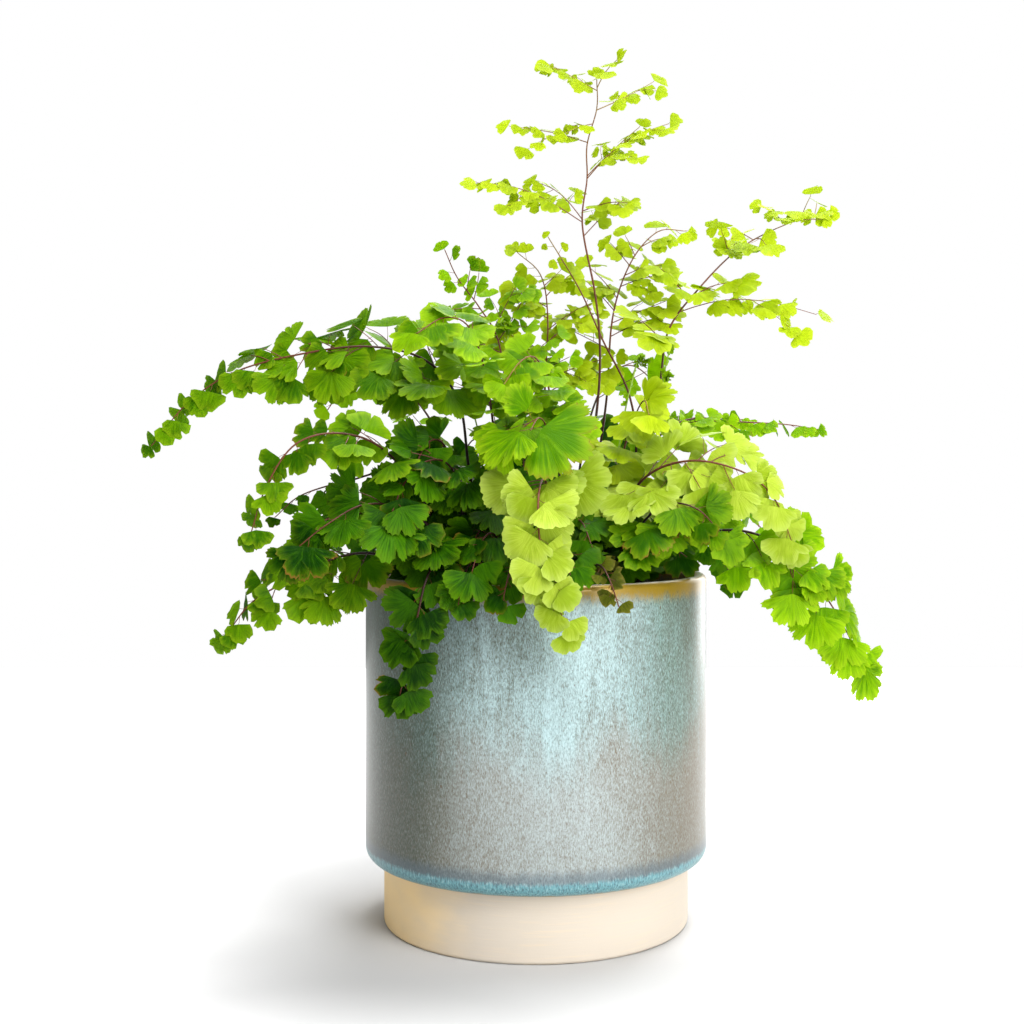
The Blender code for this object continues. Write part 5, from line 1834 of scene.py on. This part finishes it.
@dataclass(frozen=True)
class Fern:
    """The whole fern: it grows frond by frond in the space that the pot and the soil leave.

    short is how many fronds the undergrowth has. near and rise are where they stand and how high they rise
    over low, in millimetres, and arch is their form. rim lists the sprigs over the rim: root, route, and
    their leaflets' radius. The seeds start the numbers of the draws.
    """

    pot: Pot
    soil: Soil
    short: int = 46
    golden: float = 137.5
    near: tuple[float, float] = (14, 42)
    rise: tuple[float, float] = (12, 42)
    higher: float = 22
    low: float = 137
    lean: float = 0.35
    arch: tuple = ((4, 0.45), (14, 1.0), (26, 1.05), (37, 0.7))
    place_seed: int = 77
    short_seed: int = 500
    filling_seed: int = 1000
    short_filling_seed: int = 2000
    rim: tuple = (
        ((-18, -44), ((-21, -56, 147), (-24, -68, 150), (-27, -76, 144), (-28, -80, 136)), 7.5),
        ((-6, -46), ((-7, -58, 147), (-9, -70, 149), (-11, -79, 142), (-12, -82, 136)), 7),
        ((16, -42), ((20, -54, 147), (24, -66, 149), (27, -75, 144), (30, -79, 135)), 4.5))

    def bare_space(self) -> Space:
        """The space with nothing but the pot and the soil in it."""
        space = Space()
        space.add("pot", self.pot.solid())
        space.add("soil", self.soil.solid())
        return space

    def grow(self) -> tuple[list[Growth], list[Growth]]:
        """Grows the solids' fronds, brings them to size, fills them out, and adds short ones.

        Returns:
            The growths of the fronds and of the undergrowth.
        """
        space = self.bare_space()
        growths = [Growth(frond, number) for number, frond in enumerate(FRONDS)]
        for growth in growths:
            space.add(growth.frond.name, growth.stem())
        for growth in growths:
            growth.grow_side_stems(space)
        for growth in growths:
            growth.grow_leaflets(space)
        LOG.info("first leaflets: %d", sum(len(s.leaflets) for g in growths for s in g.side_stems))
        crowd = self.bare_space()
        for growth in growths:
            growth.shrink()
            leaflets = [leaflet for stem in growth.side_stems for leaflet in stem.leaflets]
            for leaflet in [*leaflets, growth.tip] if growth.tip else leaflets:
                crowd.add(growth.frond.name, leaflet.core())
        for number, growth in enumerate(growths):
            growth.fill_out(Filling(crowd, random.Random(self.filling_seed + number)))
        short = [Growth(frond, self.short_seed + number) for number, frond in enumerate(self.undergrowth())]
        for number, growth in enumerate(short):
            growth.grow_within(Filling(crowd, random.Random(self.short_filling_seed + number)))
        LOG.info("all leaflets: %d", sum(len(s.leaflets) for g in growths + short for s in g.side_stems))
        return growths, short

    def undergrowth(self) -> Iterator[Frond]:
        """Short fronds: some hang over the rim, the others stand in the crown, a golden angle apart."""
        for root, route, leaf in self.rim:
            yield Frond("undergrowth", Tone.DEEP, root, route, bare=0.45, reach=9, gap=7, leaf=(leaf, leaf),
                        plane=75, tilt=78, edge=Edge.JAGGED, fine=(leaf, leaf))
        draws = random.Random(self.place_seed)
        for number in range(self.short):
            turn = math.radians(self.golden * number)
            forward = self.lean if number % 2 else 0.0
            out = Vector((math.cos(turn), math.sin(turn) - forward, 0)).normalized()
            right = out.x > 0.25 and out.y < 0.6
            near, rise = draws.uniform(*self.near), draws.uniform(*self.rise)
            if right and number % 2:
                continue
            if number % 3 == 0 and not right:
                rise += self.higher
            route = tuple((out.x * (near + far), out.y * (near + far), self.low + rise * lift)
                          for far, lift in self.arch)
            yield Frond("undergrowth", Tone.DEEP, (out.x * near, out.y * near), route, bare=0.3, reach=16,
                        gap=11, leaf=(12, 9), plane=45, tilt=50,
                        edge=Edge.JAGGED if number % 3 else Edge.LOBED, fine=(11.5, 9))

    def build(self) -> list[bpy.types.Object]:
        """Makes every frond, the undergrowth as one piece, the last sprig of the rim dried, and the shoots.

        Returns:
            All the pieces.
        """
        leaves = {tone: finish.material() for tone, finish in LEAVES.items()}
        stem = StemFinish("wiry_stem").material()
        growths, short = self.grow()
        pieces = []
        for number, growth in enumerate(growths):
            frond = growth.frond
            # A finish darker than the tone's paints shade on the frond; a paler one is a tint.
            look = leaves[frond.look or frond.tone]
            pieces.append(FrondPiece(growth, number).build(look, stem, "leaf_" + frond.tone.value))
        surface, dry = Surface(), Surface()
        for number, growth in enumerate(short):
            last = number == len(self.rim) - 1
            FrondPiece(growth, self.short_seed + number).draw(dry if last else surface)
        return [*pieces, surface.piece("undergrowth", [leaves[Tone.DEEP], stem], "leaf_deep"),
                dry.piece("dry_sprig", [DRY_LEAF.material(), stem], "leaf_deep"),
                Shoots().build(leaves[Tone.FRESH], GREEN_STEM.material())]


LEAVES = {
    # The old green: dark with age, and partly painted shade.
    Tone.DEEP: LeafFinish("leaf_deep", (0.005, 0.045, 0.0), (0.075, 0.25, 0.001), (0.20, 0.36, 0.004),
                          (0.09, 0.28, 0.0), browned=0.2),
    # A darker copy of the old green: painted shade.
    Tone.INNER: LeafFinish("leaf_inner", (0.003, 0.028, 0.0), (0.042, 0.15, 0.001), (0.12, 0.25, 0.003),
                           (0.06, 0.20, 0.0), browned=0.2),
    # A darker copy between the old and the fresh green: painted shade.
    Tone.SHADED: LeafFinish("leaf_shaded", (0.03, 0.12, 0.0), (0.19, 0.39, 0.001), (0.44, 0.61, 0.015),
                            (0.25, 0.49, 0.0)),
    Tone.FRESH: LeafFinish("leaf_fresh", (0.07, 0.21, 0.0), (0.33, 0.59, 0.001), (0.60, 0.76, 0.025),
                           (0.42, 0.67, 0.0)),
    Tone.YOUNG: LeafFinish("leaf_young", (0.28, 0.40, 0.002), (0.56, 0.69, 0.012), (0.65, 0.75, 0.06),
                           (0.62, 0.76, 0.01), browned=0.02),
    Tone.PALE: LeafFinish("leaf_pale", (0.28, 0.40, 0.012), (0.55, 0.68, 0.07), (0.66, 0.76, 0.22),
                          (0.60, 0.74, 0.05), browned=0.02),
}
DRY_LEAF = LeafFinish("leaf_dry", (0.03, 0.04, 0.004), (0.17, 0.20, 0.01), (0.36, 0.30, 0.06),
                      (0.16, 0.18, 0.01), browned=0.5)
GREEN_STEM = StemFinish("green_stem", (0.08, 0.12, 0.01), (0.20, 0.34, 0.03), (0.30, 0.46, 0.05))


class Light(Enum):
    """The kinds of lamps."""

    SUN = "SUN"
    AREA = "AREA"


@dataclass(frozen=True)
class Lamp:
    """A soft lamp that looks at the middle of the object.

    place is where it stands, or which way a sun comes from. size is a sun's angle in degrees or an area's
    width in metres, and tall an area's height.
    """

    name: str
    kind: Light
    place: tuple[float, float, float]
    power: float
    size: float
    tall: float = 0.0
    middle: tuple[float, float, float] = (0, 0, 0.15)

    def build(self) -> None:
        """Adds the lamp."""
        data = bpy.data.lights.new(self.name, self.kind.value)
        data.energy = self.power
        aim = -Vector(self.place)
        if self.kind is Light.SUN:
            data.angle = math.radians(self.size)
        else:
            data.shape, data.size, data.size_y = "RECTANGLE", self.size, self.tall
            aim += Vector(self.middle)
        lamp = bpy.data.objects.new(self.name, data)
        lamp.location = self.place
        lamp.rotation_euler = aim.to_track_quat("-Z", "Y").to_euler()
        bpy.context.scene.collection.objects.link(lamp)


@dataclass(frozen=True)
class Studio:
    """A white floor, soft light and the photograph's camera.

    glow is where the floor starts to shine and where it does so fully, in metres from the middle. even is the
    light that the world gives, and wall how bright it is seen.
    """

    distance: float = 0.617
    eye: float = 0.186
    sensor: float = 36
    lens: float = 1490 / 1024 * 36
    shift: tuple[float, float] = (-24 / 1024, -46 / 1024)
    floor_half: float = 0.75
    floor_height: float = -0.02 * MM
    glow: tuple[float, float] = (0.10, 0.26)
    even: float = 0.30
    wall: float = 1.0
    lamps: tuple[Lamp, ...] = (
        Lamp("top", Light.SUN, (0.20, 0.22, 1.0), 3.4, 26),
        Lamp("key", Light.AREA, (0.60, -0.82, 0.50), 10.5, 0.45, 0.8),
        Lamp("fill", Light.AREA, (0.05, -0.65, 1.15), 10.0, 0.6, 0.6),
        Lamp("back", Light.AREA, (0.25, 0.85, 0.75), 10.0, 0.8, 0.8),
        Lamp("side", Light.AREA, (0.52, 0.70, 0.20), 2.5, 0.35, 0.5))

    def camera(self) -> None:
        """Sets the camera level, in front of the pot."""
        data = bpy.data.cameras.new("camera")
        data.sensor_width = self.sensor
        data.lens = self.lens
        data.shift_x, data.shift_y = self.shift
        camera = bpy.data.objects.new("camera", data)
        camera.location = (0, -self.distance, self.eye)
        camera.rotation_euler = (math.radians(90), 0, 0)
        bpy.context.scene.collection.objects.link(camera)
        bpy.context.scene.camera = camera

    def floor(self) -> None:
        """Lays the white floor."""
        shader = Shader("studio_floor")
        grain = shader.noise(shader.place(), 0.4, 1.0)
        colour = shader.mix((0.50, 0.50, 0.50), (0.49, 0.49, 0.49), grain)
        away = shader.node("ShaderNodeVectorMath", {"operation": "LENGTH"}, {0: shader.place()}, "Value")
        shine = shader.mix((0.0, 0.0, 0.0), (0.6, 0.6, 0.6), away.above(*self.glow))
        material = shader.finish(shader.principled(Base_Color=colour, Roughness=0.9, Emission_Color=shine,
                                                   Emission_Strength=1.0))
        mesh = bpy.data.meshes.new("floor")
        corners = [(x * self.floor_half, y * self.floor_half, self.floor_height)
                   for x, y in ((-1, -1), (1, -1), (1, 1), (-1, 1))]
        mesh.from_pydata(corners, [], [(0, 1, 2, 3)])
        mesh.materials.append(material)
        floor = bpy.data.objects.new("floor", mesh)
        bpy.context.scene.collection.objects.link(floor)

    def world(self) -> None:
        """Fills the studio with an even light, and shows it as a white wall."""
        world = bpy.data.worlds.new("studio")
        world.use_nodes = True
        tree = world.node_tree
        back = tree.nodes["Background"]
        path = tree.nodes.new("ShaderNodeLightPath")
        blend = tree.nodes.new("ShaderNodeMapRange")
        tree.links.new(path.outputs["Is Camera Ray"], blend.inputs[0])
        blend.inputs[3].default_value = self.even
        blend.inputs[4].default_value = self.wall
        tree.links.new(blend.outputs[0], back.inputs[1])
        back.inputs[0].default_value = (1, 1, 1, 1)
        bpy.context.scene.world = world

    def build(self) -> None:
        """Sets up the studio."""
        self.camera()
        self.floor()
        self.world()
        for lamp in self.lamps:
            lamp.build()
        bpy.context.scene.view_settings.view_transform = "Standard"


def main() -> None:
    """Builds the scene."""
    logging.basicConfig(level=logging.INFO, format="%(name)s: %(message)s")
    Studio().build()
    pot = Pot()
    soil = Soil(pot)
    pot.build()
    soil.build()
    Fern(pot, soil).build()
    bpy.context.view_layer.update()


if __name__ == "__main__":
    main()
